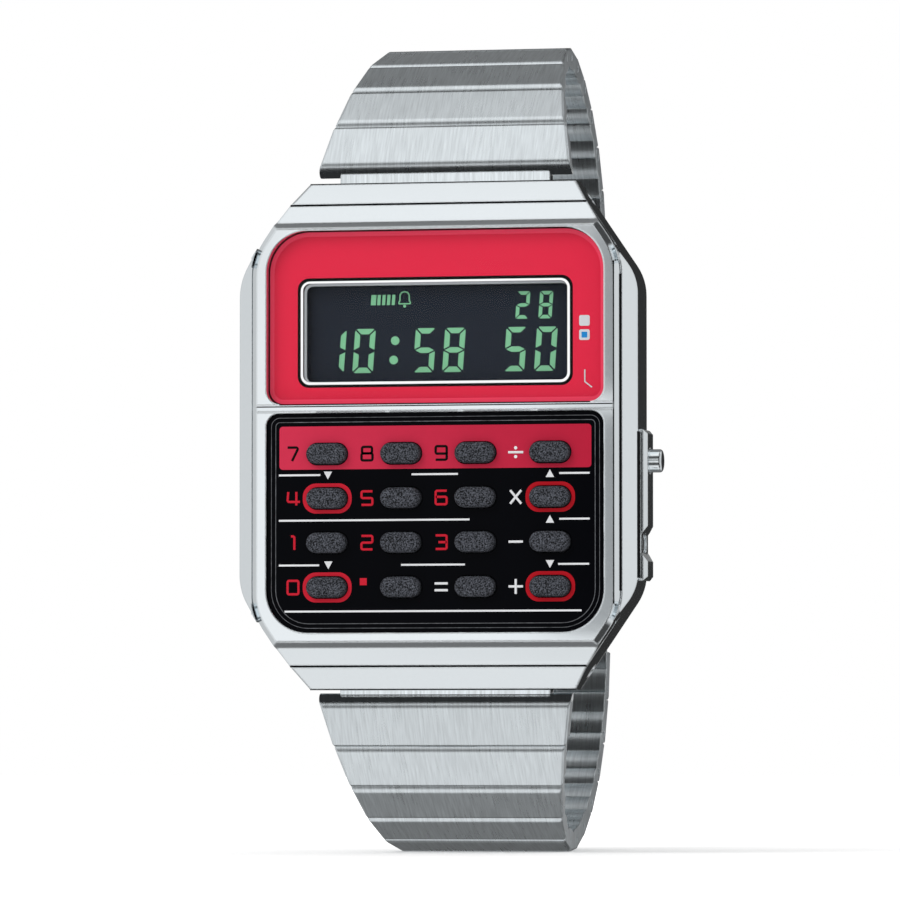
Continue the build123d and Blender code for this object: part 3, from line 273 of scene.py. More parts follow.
# Cards in the tent: dark ones inside the wrist opening and over both case
# ends, which only the links see, and graded ones in front, which shade the
# right strip of the bezel.
ONE_SIDED_CARDS = {"wrist_card": ((-19, 5, -27), (0, 0, 60), (38, 0, 0)),
                   "upper_lip_card": ((-15, -16, 21.9), (30, 0, 0), (0, 15, 0)),
                   "lower_lip_card": ((-15, -16, -21.9), (0, 15, 0), (30, 0, 0))}
ONE_SIDED_GREY = 0.03
CARD_TINT = (1, 1.02, 1.04)
FRONT_CARDS = {"front_card_upper": ((-24, -150, 10.7), (84, 0, 0), (0, 0, 18.5)),
               "front_card_lower": ((-24, -150, -14.5), (84, 0, 0), (0, 0, 23.3))}
FRONT_CARD_TONES = ((0.0, 0.97), (0.05, 0.8), (0.1, 0.42), (0.14, 0.33), (1.0, 0.3))
paint, shader = mirrored("one_sided_card", CARD_TINT, ONE_SIDED_GREY)
seen = paint.node_tree.nodes.new("ShaderNodeNewGeometry")
paint.node_tree.links.new(math_node(paint.node_tree, "SUBTRACT", 1.0, seen.outputs["Backfacing"]),
                          shader.inputs["Alpha"])
for name, sides in ONE_SIDED_CARDS.items():
    for_gloss_only(card(name, *[Vector(side) * MM for side in sides], paint))
paint, shader = mirrored("front_card", CARD_TINT)
tree = paint.node_tree
_, across, _, _ = object_place(tree)
start_x, card_length = (FRONT_CARDS["front_card_upper"][side][0] * MM for side in (0, 1))
tone = grey_ramp(tree, range_node(tree, across, start_x, start_x + card_length), FRONT_CARD_TONES)
tree.links.new(tone, shader.inputs["Emission Strength"])
for name, sides in FRONT_CARDS.items():
    for_gloss_only(card(name, *[Vector(side) * MM for side in sides], paint))

# Case, bezel, pushers, screws and spring bars: stainless steel, turned and
# milled, then polished. Handling leaves it with faint smears, and its edges
# are slightly rounded, most of all the creases over the case ends.
STEEL = (0.85, 0.895, 0.92, 1)
EDGE_ROUND = 0.2 * MM
EDGE_SAMPLES = 6
CREASE_ROUND = 0.34 * MM
CREASE_FROM = (17.3 * MM, 17.6 * MM)
GRAIN_DETAIL = 3.0
SMEAR_DETAIL = 2.0
DARKEST_SPECK = 0.1


def new_group(name, inputs, outputs):
    """A shader node group with named inputs, each with its usual value, and named outputs."""
    group = bpy.data.node_groups.new(name, "ShaderNodeTree")
    for socket, value in inputs.items():
        kind = "NodeSocketColor" if isinstance(value, tuple) else "NodeSocketFloat"
        group.interface.new_socket(socket, in_out="INPUT", socket_type=kind).default_value = value
    for socket, kind in outputs.items():
        group.interface.new_socket(socket, in_out="OUTPUT", socket_type=kind)
    return group, group.nodes.new("NodeGroupInput"), group.nodes.new("NodeGroupOutput")


def mix_colour(tree, factor, a, b):
    """A colour mix fed by sockets or colours, and its result."""
    node = tree.nodes.new("ShaderNodeMix")
    node.data_type = "RGBA"
    for slot, source in (("Factor", factor), ("A", a), ("B", b)):
        socket = next(s for s in node.inputs if s.name == slot and s.enabled)
        if isinstance(source, (int, float, tuple)):
            socket.default_value = source
        else:
            tree.links.new(source, socket)
    return next(s for s in node.outputs if s.enabled)


def streaked_noise(tree, across, along, detail):
    """Noise on object coordinates, with one frequency along X and another along Y and Z."""
    place = tree.nodes.new("ShaderNodeTexCoord")
    scale = tree.nodes.new("ShaderNodeCombineXYZ")
    for axis, source in (("X", across), ("Y", along), ("Z", along)):
        tree.links.new(source, scale.inputs[axis])
    stretch = tree.nodes.new("ShaderNodeVectorMath")
    stretch.operation = "MULTIPLY"
    tree.links.new(place.outputs["Object"], stretch.inputs[0])
    tree.links.new(scale.outputs["Vector"], stretch.inputs[1])
    noise = tree.nodes.new("ShaderNodeTexNoise")
    noise.inputs["Scale"].default_value = 1.0
    noise.inputs["Detail"].default_value = detail
    tree.links.new(stretch.outputs["Vector"], noise.inputs["Vector"])
    return noise.outputs["Fac"]


# The finish group: grain gives fine lines or specks that shade the colour, and
# together with smears, which change slowly over the surface, sets the gloss.
finish_group, given, result = new_group(
    "metal_finish",
    {"Colour": STEEL, "Across": 9000.0, "Along": 700.0, "Shade": 0.1, "Gloss": 0.12, "Spread": 0.08,
     "Smear": 260.0},
    {"Colour": "NodeSocketColor", "Roughness": "NodeSocketFloat", "Height": "NodeSocketFloat"})
grain = streaked_noise(finish_group, given.outputs["Across"], given.outputs["Along"], GRAIN_DETAIL)
smear = streaked_noise(finish_group, given.outputs["Smear"], given.outputs["Smear"], SMEAR_DETAIL)
shade = math_node(finish_group, "SUBTRACT", grain, 0.5)
shade = math_node(finish_group, "MULTIPLY", shade, given.outputs["Shade"])
keep = math_node(finish_group, "ADD", math_node(finish_group, "MULTIPLY", shade, 2.0), 1.0)
keep = math_node(finish_group, "MAXIMUM", keep, DARKEST_SPECK)
tint = finish_group.nodes.new("ShaderNodeVectorMath")
tint.operation = "SCALE"
finish_group.links.new(given.outputs["Colour"], tint.inputs[0])
finish_group.links.new(keep, tint.inputs["Scale"])
finish_group.links.new(tint.outputs["Vector"], result.inputs["Colour"])
rough = math_node(finish_group, "ADD", grain, smear)
rough = math_node(finish_group, "MULTIPLY", rough, given.outputs["Spread"])
rough = math_node(finish_group, "ADD", rough, given.outputs["Gloss"])
finish_group.links.new(rough, result.inputs["Roughness"])
finish_group.links.new(grain, result.inputs["Height"])


def finished(name, colour, gloss, shade, grain, along=None, metallic=0.0, specular=0.5, spread=0.1,
             smear=260.0, bump=0.0):
    """A material of one colour with the finish group's grain, which may be coarser along, and smears."""
    material, shader = surface(name)
    tree = material.node_tree
    finish = tree.nodes.new("ShaderNodeGroup")
    finish.node_tree = finish_group
    for socket, value in (("Colour", colour), ("Across", grain), ("Along", along or grain),
                          ("Shade", shade), ("Gloss", gloss), ("Spread", spread), ("Smear", smear)):
        finish.inputs[socket].default_value = value
    shader.inputs["Metallic"].default_value = metallic
    shader.inputs["Specular IOR Level"].default_value = specular
    tree.links.new(finish.outputs["Colour"], shader.inputs["Base Color"])
    tree.links.new(finish.outputs["Roughness"], shader.inputs["Roughness"])
    if bump:
        ridges = tree.nodes.new("ShaderNodeBump")
        ridges.inputs["Strength"].default_value = 1.0
        ridges.inputs["Distance"].default_value = bump
        tree.links.new(finish.outputs["Height"], ridges.inputs["Height"])
        tree.links.new(ridges.outputs["Normal"], shader.inputs["Normal"])
    return material, shader


def node_of(tree, kind):
    """The first node of a kind in a tree, or None."""
    return next((node for node in tree.nodes if node.bl_idname == kind), None)


def dress(material, *names):
    """Give CAD nodes a material in every slot."""
    for name in names:
        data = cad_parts[name].data
        data.materials.clear()
        data.materials.append(material)
        for face in data.polygons:
            face.material_index = 0


def round_edges(tree, shader, radius):
    """Shade the edges of a piece as if they were rounded, and give the node that does it."""
    edge = tree.nodes.new("ShaderNodeBevel")
    edge.samples = EDGE_SAMPLES
    edge.inputs["Radius"].default_value = radius
    under = node_of(tree, "ShaderNodeBump") or shader
    tree.links.new(edge.outputs["Normal"], under.inputs["Normal"])
    return edge


polished, shader = finished("polished_steel", STEEL, gloss=0.035, shade=0.015, grain=2500.0, metallic=1.0,
                            spread=0.03)
tree = polished.node_tree
edge = round_edges(tree, shader, EDGE_ROUND)
_, _, _, upward = object_place(tree)
creased = range_node(tree, math_node(tree, "ABSOLUTE", upward), *CREASE_FROM, EDGE_ROUND, CREASE_ROUND)
tree.links.new(creased, edge.inputs["Radius"])
dress(polished, "case_body", "bezel", "mode_pusher", "adjust_pusher", "case_back_screws", "spring_bars")

# Shade strips: thin near-black strips of painted shade along the steel parts'
# gaps and edges: the narrow joint between bezel and case at the ends and the
# right side, drawn wider as painted shadow, the edge under each case end, the
# bar's groove and foot, and the guard's foot. The strip inside the right rim
# is a painted dark reflection of the rim's rounded edge.
PAINTED_SHADE_BLACK = (0.004, 0.005, 0.006, 1)
SHADE_STRIPS = {
    "upper_end_seam_shadow": ((-12.8, 12.8), (-6.75, -6.6), (19.52, 19.63)),
    "lower_end_seam_shadow": ((-12.8, 12.8), (-6.75, -6.6), (-19.63, -19.52)),
    "upper_end_edge_shadow": ((-11.5, 11.5), (-4.84, -4.6), (21.45, 21.53)),
    "lower_end_edge_shadow": ((-11.5, 11.5), (-4.84, -4.6), (-21.54, -21.44)),
    "bar_foot_shadow": ((-13.4, 13.4), (-8.225, -8.1), (2.53, 2.6)),
    "bar_groove_shadow": ((-15.35, 15.35), (-8.335, -8.2), (2.335, 2.42)),
    "right_seam_shadow": ((15.72, 15.98), (-7.8, -7.6), (-13.3, 13.3)),
    "right_rim_reflection": ((15.36, 15.45), (-8.215, -8.1), (-14.4, 14.4)),
    "guard_foot_shadow": ((17.1, 17.24), (-6.84, -5.95), (-12.2, 0.1)),
}
BOX_FACES = [(0, 1, 3, 2), (4, 6, 7, 5), (0, 4, 5, 1), (2, 3, 7, 6), (0, 2, 6, 4), (1, 5, 7, 3)]
painted_shade_black, _ = finished("painted_shade_black", PAINTED_SHADE_BLACK, gloss=0.6, shade=0.05, grain=3000.0, specular=0.05)
# Each strip is painted shade on the steel; the one at the right rim is a painted reflection.
for name, ranges in SHADE_STRIPS.items():
    corners = [Vector((x, y, z)) * MM for x in ranges[0] for y in ranges[1] for z in ranges[2]]
    seam = add_mesh(name, corners, BOX_FACES, painted_shade_black, "case")

# Crystal: flat mineral glass with a bevelled edge, set in the bezel's upper
# window. It is thin and coated, so it mirrors little and bends nothing.
CRYSTAL_IOR = 1.15
CRYSTAL_MOST_SHINE = 0.03
CRYSTAL_ROUGHNESS = 0.02
glass, shader = surface("crystal_glass")
tree = glass.node_tree
shader.inputs["Base Color"].default_value = (1, 1, 1, 1)
shader.inputs["Metallic"].default_value = 1.0
shader.inputs["Roughness"].default_value = CRYSTAL_ROUGHNESS
fresnel = tree.nodes.new("ShaderNodeFresnel")
fresnel.inputs["IOR"].default_value = CRYSTAL_IOR
ray = tree.nodes.new("ShaderNodeLightPath")
blocked = math_node(tree, "MAXIMUM", ray.outputs["Is Shadow Ray"], ray.outputs["Is Diffuse Ray"])
shine = math_node(tree, "MINIMUM", fresnel.outputs["Fac"], CRYSTAL_MOST_SHINE)
shine = math_node(tree, "MULTIPLY", shine, math_node(tree, "SUBTRACT", 1.0, blocked))
tree.links.new(shine, shader.inputs["Alpha"])
dress(glass, "crystal")

# Display mask and frame: a crimson film behind the crystal, and in its opening
# a silvered plastic frame, pressed round the display.
CRIMSON = (0.69, 0.019, 0.055, 1)
SILVER = (0.40, 0.42, 0.44, 1)
FRAME_ROUND = 0.1 * MM
red_film, _ = finished("red_film", CRIMSON, gloss=0.4, shade=0.03, grain=1600.0, specular=0.1, smear=90.0)
dress(red_film, "display_mask")
silver, shader = finished("silver_frame", SILVER, gloss=0.1, shade=0.04, grain=4000.0, metallic=1.0,
                          spread=0.06)
round_edges(silver.node_tree, shader, FRAME_ROUND)
dress(silver, "display_frame")

# Display: a dark negative liquid crystal glass, held by the module frame just
# behind the opening of the mask. Its lit segments are pale green, in slanted
# seven-segment digits, and stand here as thin prints on the glass.
NAVY = (0.0125, 0.0165, 0.0255, 1)
display_glass, _ = finished("display_dark", NAVY, gloss=0.3, shade=0.1, grain=3000.0, specular=0.02)
dress(display_glass, "lcd_panel")

PRINT_THICK = 0.02 * MM
DIGIT_SLANT = math.tan(math.radians(4.2))
DIGIT_WIDTH = 1.78 * MM
DIGIT_HEIGHT = 3.74 * MM
DIGIT_STROKE = 0.46 * MM
SMALL_WIDTH = 1.14 * MM
SMALL_HEIGHT = 2.32 * MM
SMALL_STROKE = 0.3 * MM
SEGMENT_GAP_SHARE = 0.2
SEGMENT_CORNER_SHARE = 0.45
SEGMENTS = {"0": "abcdef", "1": "bc", "2": "abged", "5": "afgcd", "8": "abcdefg"}
SEGMENT_GREEN = (0.20, 0.50, 0.285, 1)
MAIN_FOOT = 5.31 * MM
SMALL_FOOT = 9.74 * MM
MAIN_DIGITS = (("1", -10.13), ("0", -7.6), ("5", -2.34), ("8", 0.2), ("5", 5.5), ("0", 8.13))
SMALL_DIGITS = (("2", 6.52), ("8", 8.5))
COLON_PLACES = ((-3.87, 8.02), (-4.0, 6.38))
COLON_RADIUS = 0.37 * MM
SOUND_BARS = (-5.44, 0.42, 0.27, 4)
SOUND_BLOCK = (-5.99, 0.44)
SOUND_LOW = 11.05 * MM
SOUND_HIGH = 11.92 * MM
BELL_CENTRE = (-3.05 * MM, 11.5 * MM)
BELL_HALF = ((0, 0.66), (0.26, 0.6), (0.4, 0.36), (0.4, -0.06), (0.56, -0.36))
BELL_STROKE = 0.11 * MM
BELL_CORNER = 0.08 * MM
CLAPPER_DROP = 0.56 * MM
CLAPPER_RADIUS = 0.13 * MM
STROKE_CORNER_STEPS = 6


def segment_outline(letter, width, height, stroke):
    """The corners of one of the seven segments of a digit."""
    gap, corner, middle = stroke * SEGMENT_GAP_SHARE, stroke * SEGMENT_CORNER_SHARE, height / 2
    near, far = (corner + gap) / 2, (corner - gap) / 2
    left, right = stroke + gap, width - stroke - gap
    bar = [(corner, height), (width - corner, height), (width - near, height - far),
           (right, height - stroke), (left, height - stroke), (near, height - far)]
    post = [(0, height - corner), (far, height - near), (stroke, height - stroke - gap),
            (stroke, middle + stroke / 2 + gap), (0, middle + gap)]
    cross = [(gap, middle), (left, middle + stroke / 2), (right, middle + stroke / 2),
             (width - gap, middle), (right, middle - stroke / 2), (left, middle - stroke / 2)]
    points = {"a": bar, "d": bar, "g": cross}.get(letter, post)
    if letter in "bc":
        points = [(width - x, z) for x, z in points]
    if letter in "dec":
        points = [(x, height - z) for x, z in points]
    return points


def digit_outlines(text, x, foot, width, height, stroke):
    """The lit segments of a digit at its place on the display."""
    outlines = []
    for letter in SEGMENTS[text]:
        points = segment_outline(letter, width, height, stroke)
        outlines.append([(x * MM + u + v * DIGIT_SLANT, foot + v) for u, v in points])
    return outlines


def circle_outline(x, z, radius, count=20):
    """A round outline."""
    turns = [2 * math.pi * step / count for step in range(count)]
    return [(x + radius * math.cos(t), z + radius * math.sin(t)) for t in turns]


def box_outline(low_x, high_x, low_z, high_z, radius=0.0, count=8, low_radius=None):
    """A rectangle, with its corners rounded if a radius is given, and the lower ones by their own."""
    if not radius:
        return [(low_x, low_z), (high_x, low_z), (high_x, high_z), (low_x, high_z)]
    low = low_radius or radius
    points = []
    for x, z, start, turn_radius in ((high_x - radius, high_z - radius, 0, radius),
                                     (low_x + radius, high_z - radius, 90, radius),
                                     (low_x + low, low_z + low, 180, low),
                                     (high_x - low, low_z + low, 270, low)):
        for step in range(count + 1):
            turn = math.radians(start + 90 * step / count)
            points.append((x + turn_radius * math.cos(turn), z + turn_radius * math.sin(turn)))
    return points


def settle(piece, face_y, body):
    """Stand a flat print made in X and Y up on a face that looks towards the dial's front."""
    data = piece.data
    middle_y = face_y - PRINT_THICK / 2
    data.transform(Matrix(((1, 0, 0, 0), (0, 0, -1, middle_y), (0, 1, 0, 0), (0, 0, 0, 1))))
    shape = bmesh.new()
    shape.from_mesh(data)
    bmesh.ops.remove_doubles(shape, verts=shape.verts, dist=PRINT_THICK / 50)
    bmesh.ops.recalc_face_normals(shape, faces=shape.faces)
    shape.to_mesh(data)
    shape.free()
    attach(piece, body)
    return piece


def filled_print(name, outlines, material, face_y, body="case"):
    """A thin print from closed outlines, where an outline inside another is a hole."""
    curve = bpy.data.curves.new(name, "CURVE")
    curve.dimensions = "2D"
    curve.fill_mode = "BOTH"
    curve.extrude = PRINT_THICK / 2
    for points in outlines:
        spline = curve.splines.new("POLY")
        spline.points.add(len(points) - 1)
        for point, (x, z) in zip(spline.points, points):
            point.co = (x, z, 0, 1)
        spline.use_cyclic_u = True
    source = bpy.data.objects.new(name, curve)
    scene.collection.objects.link(source)
    bpy.context.view_layer.update()
    data = bpy.data.meshes.new_from_object(source.evaluated_get(bpy.context.evaluated_depsgraph_get()))
    bpy.data.objects.remove(source)
    data.name = name
    data.materials.clear()
    data.materials.append(material)
    piece = bpy.data.objects.new(name, data)
    scene.collection.objects.link(piece)
    return settle(piece, face_y, body)


segment_paint, _ = finished("segment_green", SEGMENT_GREEN, gloss=0.5, shade=0.03, grain=6000.0,
                            specular=0.06)
display_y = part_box("lcd_panel")[0].y
lit = []
for text, x in MAIN_DIGITS:
    lit += digit_outlines(text, x, MAIN_FOOT, DIGIT_WIDTH, DIGIT_HEIGHT, DIGIT_STROKE)
for text, x in SMALL_DIGITS:
    lit += digit_outlines(text, x, SMALL_FOOT, SMALL_WIDTH, SMALL_HEIGHT, SMALL_STROKE)
lit += [circle_outline(x * MM, z * MM, COLON_RADIUS) for x, z in COLON_PLACES]
first, pitch, bar_width, bar_count = SOUND_BARS
lean = (SOUND_HIGH - SOUND_LOW) * DIGIT_SLANT
for low_x, width in [SOUND_BLOCK] + [(first + number * pitch, bar_width) for number in range(bar_count)]:
    low_x, width = low_x * MM, width * MM
    lit.append([(low_x, SOUND_LOW), (low_x + width, SOUND_LOW), (low_x + width + lean, SOUND_HIGH),
                (low_x + lean, SOUND_HIGH)])
bell_x, bell_z = BELL_CENTRE
lit.append(circle_outline(bell_x, bell_z - CLAPPER_DROP, CLAPPER_RADIUS, count=12))
filled_print("display_digits", lit, segment_paint, display_y)

# The stroke tree: it rounds the corners of a path by each point's radius, and
# sweeps a flat bar of ink along it.
stroke_tree = bpy.data.node_groups.new("printed_stroke", "GeometryNodeTree")
socket_ids = {}
for name, kind, value in (("Geometry", "NodeSocketGeometry", None),
                          ("Width", "NodeSocketFloat", BELL_STROKE),
                          ("Thickness", "NodeSocketFloat", PRINT_THICK),
                          ("Ink", "NodeSocketMaterial", None)):
    socket = stroke_tree.interface.new_socket(name, in_out="INPUT", socket_type=kind)
    socket_ids[name] = socket.identifier
    if value is not None:
        socket.default_value = value
stroke_tree.interface.new_socket("Geometry", in_out="OUTPUT", socket_type="NodeSocketGeometry")
steps = {}
for step, kind in (("given", "NodeGroupInput"), ("result", "NodeGroupOutput"),
                   ("corner", "GeometryNodeFilletCurve"), ("radius", "GeometryNodeInputRadius"),
                   ("even", "GeometryNodeSetCurveRadius"), ("upright", "GeometryNodeSetCurveNormal"),
                   ("section", "GeometryNodeCurvePrimitiveQuadrilateral"),
                   ("sweep", "GeometryNodeCurveToMesh"), ("real", "GeometryNodeRealizeInstances"),
                   ("paint", "GeometryNodeSetMaterial")):
    steps[step] = stroke_tree.nodes.new(kind)
steps["corner"].mode = "POLY"
steps["corner"].inputs["Count"].default_value = STROKE_CORNER_STEPS
steps["corner"].inputs["Limit Radius"].default_value = True
steps["even"].inputs["Radius"].default_value = 1.0
steps["upright"].mode = "Z_UP"
steps["sweep"].inputs["Fill Caps"].default_value = True
for start, output, end, entry in (("given", "Geometry", "corner", "Curve"),
                                  ("radius", "Radius", "corner", "Radius"),
                                  ("corner", "Curve", "even", "Curve"),
                                  ("even", "Curve", "upright", "Curve"),
                                  ("upright", "Curve", "sweep", "Curve"),
                                  ("section", "Curve", "sweep", "Profile Curve"),
                                  ("given", "Width", "section", "Width"),
                                  ("given", "Thickness", "section", "Height"),
                                  ("sweep", "Mesh", "real", "Geometry"),
                                  ("real", "Geometry", "paint", "Geometry"),
                                  ("given", "Ink", "paint", "Material"),
                                  ("paint", "Geometry", "result", "Geometry")):
    stroke_tree.links.new(steps[start].outputs[output], steps[end].inputs[entry])


def stroke_print(name, paths, width, ink, face_y, body="case"):
    """A print of strokes: each path is its points, its corner radius or radii, and whether it closes."""
    curve = bpy.data.curves.new(name, "CURVE")
    curve.dimensions = "3D"
    for points, radii, closed in paths:
        spline = curve.splines.new("POLY")
        spline.points.add(len(points) - 1)
        corners = radii if isinstance(radii, (list, tuple)) else [radii] * len(points)
        for point, (x, z), corner in zip(spline.points, points, corners):
            point.co = (x, z, 0, 1)
            point.radius = corner
        spline.use_cyclic_u = closed
    source = bpy.data.objects.new(name, curve)
    scene.collection.objects.link(source)
    modifier = source.modifiers.new("stroke", "NODES")
    modifier.node_group = stroke_tree
    modifier[socket_ids["Width"]] = width
    modifier[socket_ids["Thickness"]] = PRINT_THICK
    modifier[socket_ids["Ink"]] = ink
    bpy.context.view_layer.update()
    data = bpy.data.meshes.new_from_object(source.evaluated_get(bpy.context.evaluated_depsgraph_get()))
    source.modifiers.clear()
    bpy.data.objects.remove(source)
    data.name = name
    piece = bpy.data.objects.new(name, data)
    scene.collection.objects.link(piece)
    return settle(piece, face_y, body)


bell_sides = [(x, z) for x, z in BELL_HALF] + [(-x, z) for x, z in BELL_HALF[:0:-1]]
bell = [(bell_x + x * MM, bell_z + z * MM) for x, z in bell_sides]
stroke_print("display_bell", [(bell, BELL_CORNER, True)], BELL_STROKE, segment_paint, display_y)

# Prints behind the glass, screened in layers: crimson lacquer, edged with a dark
# hairline, with a paler red ring inside the window's edge that is a painted
# highlight of the crystal's bevel, a black line round the display and a bright
# line of painted highlight on the silver frame's rim, two squares, one with a
# blue centre, and a bent line.
BLACK_LINE = (-12.07, 11.72, 4.03, 13.33)
FRAME_HIGHLIGHT_LINE = (-11.8, 11.46, 4.28, 13.06)
FRAME_OPENING = (-11.6, 11.24, 4.5, 12.88)
LINE_RADII = (1.0, 0.8, 0.62)
WINDOW = (-14.55, 14.55, 2.6, 17.3)
WINDOW_RADII = (3.5, 1.25)
HAIRLINE_AND_HIGHLIGHT_INSETS = (0.0, 0.07, 0.45)
BEVEL_HIGHLIGHT_RED = (0.86, 0.05, 0.11, 1)
ROUND_STEPS = 10
SQUARE_SIDE = 0.9
SQUARE_CORNER = 0.16
SQUARE_STEPS = 5
SQUARE_CENTRES = ((12.71, 9.45), (12.71, 8.25))
BLUE_SIDE = 0.5
BLUE_CORNER = 0.06
BENT_STROKE = 0.12 * MM
BENT_LINE = ((12.74, 5.32), (12.74, 4.3), (13.35, 3.82))
# The brightest of these colours is no ink of the watch: it paints the highlight on the display frame's
# rim.
PRINT_INKS = {"ink_black": (0.002, 0.002, 0.002, 1), "ink_red": (0.56, 0.012, 0.03, 1),
              "ink_deep_red": (0.44, 0.004, 0.012, 1), "ink_white": (0.74, 0.75, 0.77, 1),
              "ink_silver": (0.6, 0.61, 0.64, 1), "ink_blue": (0.014, 0.22, 0.56, 1),
              "ink_frame_highlight": (0.93, 0.94, 0.95, 1)}
inks = {}
for name, colour in PRINT_INKS.items():
    inks[name], _ = finished(name, colour, gloss=0.45, shade=0.05, grain=8000.0, specular=0.12)
# The paler red of the window's edge is a painted highlight of the crystal's bevel.
bevel_highlight_paint, _ = finished("bevel_highlight_red", BEVEL_HIGHLIGHT_RED, gloss=0.35, shade=0.03, grain=1600.0, specular=0.2)


def grown_box(sides, grow, radius, low_radius=None):
    """A rounded rectangle in millimetres, grown by a margin."""
    low_x, high_x, low_z, high_z = sides
    low = (low_radius or radius) + grow
    return box_outline((low_x - grow) * MM, (high_x + grow) * MM, (low_z - grow) * MM,
                       (high_z + grow) * MM, (radius + grow) * MM, ROUND_STEPS, low * MM)


def square_outline(centre, side, corner=0.0):
    """A square in millimetres, with rounded corners if a radius is given."""
    (x, z), half = centre, side / 2
    return box_outline((x - half) * MM, (x + half) * MM, (z - half) * MM, (z + half) * MM, corner * MM,
                       SQUARE_STEPS)


mask_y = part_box("display_mask")[0].y
lines = [grown_box(sides, 0, radius)
         for sides, radius in zip((BLACK_LINE, FRAME_HIGHLIGHT_LINE, FRAME_OPENING), LINE_RADII)]
edges = [grown_box(WINDOW, -inset, *WINDOW_RADII) for inset in HAIRLINE_AND_HIGHLIGHT_INSETS]
filled_print("mask_hairline", edges[0:2], inks["ink_black"], mask_y)
# A painted highlight: the crystal's bevel catching light over the lacquer.
filled_print("mask_bevel_highlight", edges[1:3], bevel_highlight_paint, mask_y)
filled_print("mask_lacquer", [edges[2], lines[0]], red_film, mask_y)
filled_print("mask_black_line", lines[0:2], inks["ink_black"], mask_y)
# A painted highlight of the silver frame's rim, drawn as a bright ring on the mask.
filled_print("mask_frame_highlight", lines[1:3], inks["ink_frame_highlight"], mask_y)
squares = [square_outline(centre, SQUARE_SIDE, SQUARE_CORNER) for centre in SQUARE_CENTRES]
blue = square_outline(SQUARE_CENTRES[1], BLUE_SIDE, BLUE_CORNER)
filled_print("mask_squares", squares + [blue], inks["ink_silver"], mask_y - PRINT_THICK)
filled_print("mask_blue", [blue], inks["ink_blue"], mask_y - PRINT_THICK)
bent_line = [(x * MM, z * MM) for x, z in BENT_LINE]
stroke_print("mask_bent_line", [(bent_line, 0.0, False)], BENT_STROKE, inks["ink_silver"],
             mask_y - PRINT_THICK)

# Key plate: glossy black plastic, moulded with two fine beads inside its edge,
# whose glints are painted on as two thin grey lines of painted highlight, and
# printed with a crimson band behind the top row of keys. The band fades a
# little from left to right.
BLACK = (0.0012, 0.0014, 0.0024, 1)
BAND_SIDE = 13.45 * MM
BAND_LOW = -2.93 * MM
BAND_HIGH = 0.72 * MM
BAND_CORNER = 0.3 * MM
BAND_LEFT_RED = (0.58, 0.028, 0.07, 1)
BAND_RIGHT_RED = (0.44, 0.011, 0.038, 1)
KEY_HOLE_FIT = 0.1 * MM
KEY_FLANGE = 0.3 * MM
PILL_ROUNDNESS = 0.999
PLATE_SIDES = (-14.55, 14.55, -16.75, 1.85)
PLATE_RADII = (1.15, 3.6)
PLATE_BEAD_HIGHLIGHTS = ((0.4, 0.05), (0.78, 0.06))
BEAD_HIGHLIGHT_GREY = (0.10, 0.105, 0.115, 1)
plate_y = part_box("key_plate")[0].y
gloss_black, _ = finished("black_gloss", BLACK, gloss=0.08, shade=0.1, grain=2000.0, specular=0.03,
                          spread=0.04)
dress(gloss_black, "key_plate")
band_paint, _ = finished("band_red", BAND_LEFT_RED, gloss=0.4, shade=0.05, grain=900.0, specular=0.1,
                         smear=70.0)
tree = band_paint.node_tree
_, across, _, _ = object_place(tree)
fade = range_node(tree, across, -BAND_SIDE, BAND_SIDE)
red = mix_colour(tree, fade, BAND_LEFT_RED, BAND_RIGHT_RED)
tree.links.new(red, node_of(tree, "ShaderNodeGroup").inputs["Colour"])
bead_highlight_paint, _ = finished("bead_highlight_grey", BEAD_HIGHLIGHT_GREY, gloss=0.3, shade=1.2, grain=1500.0)


def key_outline(name, grow):
    """The pill shape of a key's cap, grown by a margin."""
    low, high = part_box(name)
    edge = grow - KEY_FLANGE
    radius = ((high.z - low.z) / 2 + edge) * PILL_ROUNDNESS
    return box_outline(low.x - edge, high.x + edge, low.z - edge, high.z + edge, radius, ROUND_STEPS)


band = [box_outline(-BAND_SIDE, BAND_SIDE, BAND_LOW, BAND_HIGH, BAND_CORNER)]
for name in ("key_7", "key_8", "key_9", "key_divide"):
    band.append(key_outline(name, KEY_HOLE_FIT))
filled_print("red_band", band, band_paint, plate_y)
# Each bead's glint is a painted highlight, a thin grey line round the plate.
for number, (inset, bead_width) in enumerate(PLATE_BEAD_HIGHLIGHTS, 1):
    bead = grown_box(PLATE_SIDES, -inset, *PLATE_RADII)
    stroke_print(f"plate_bead_highlight_{number}", [(bead, 0.0, True)], bead_width * MM, bead_highlight_paint, plate_y)

# Keys: pills of dark grey rubber, moulded with a coarse speckled grain. Each
# stands through its own hole in the key plate.
KEY_GREY = (0.044, 0.047, 0.056, 1)
KEY_GRAIN_DEPTH = 0.03 * MM
rubber, _ = finished("key_rubber", KEY_GREY, gloss=0.75, shade=4.2, grain=9000.0, specular=0.15,
                     bump=KEY_GRAIN_DEPTH)
KEY_NAMES = [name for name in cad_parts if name.startswith("key_") and name != "key_plate"]
dress(rubber, *KEY_NAMES)

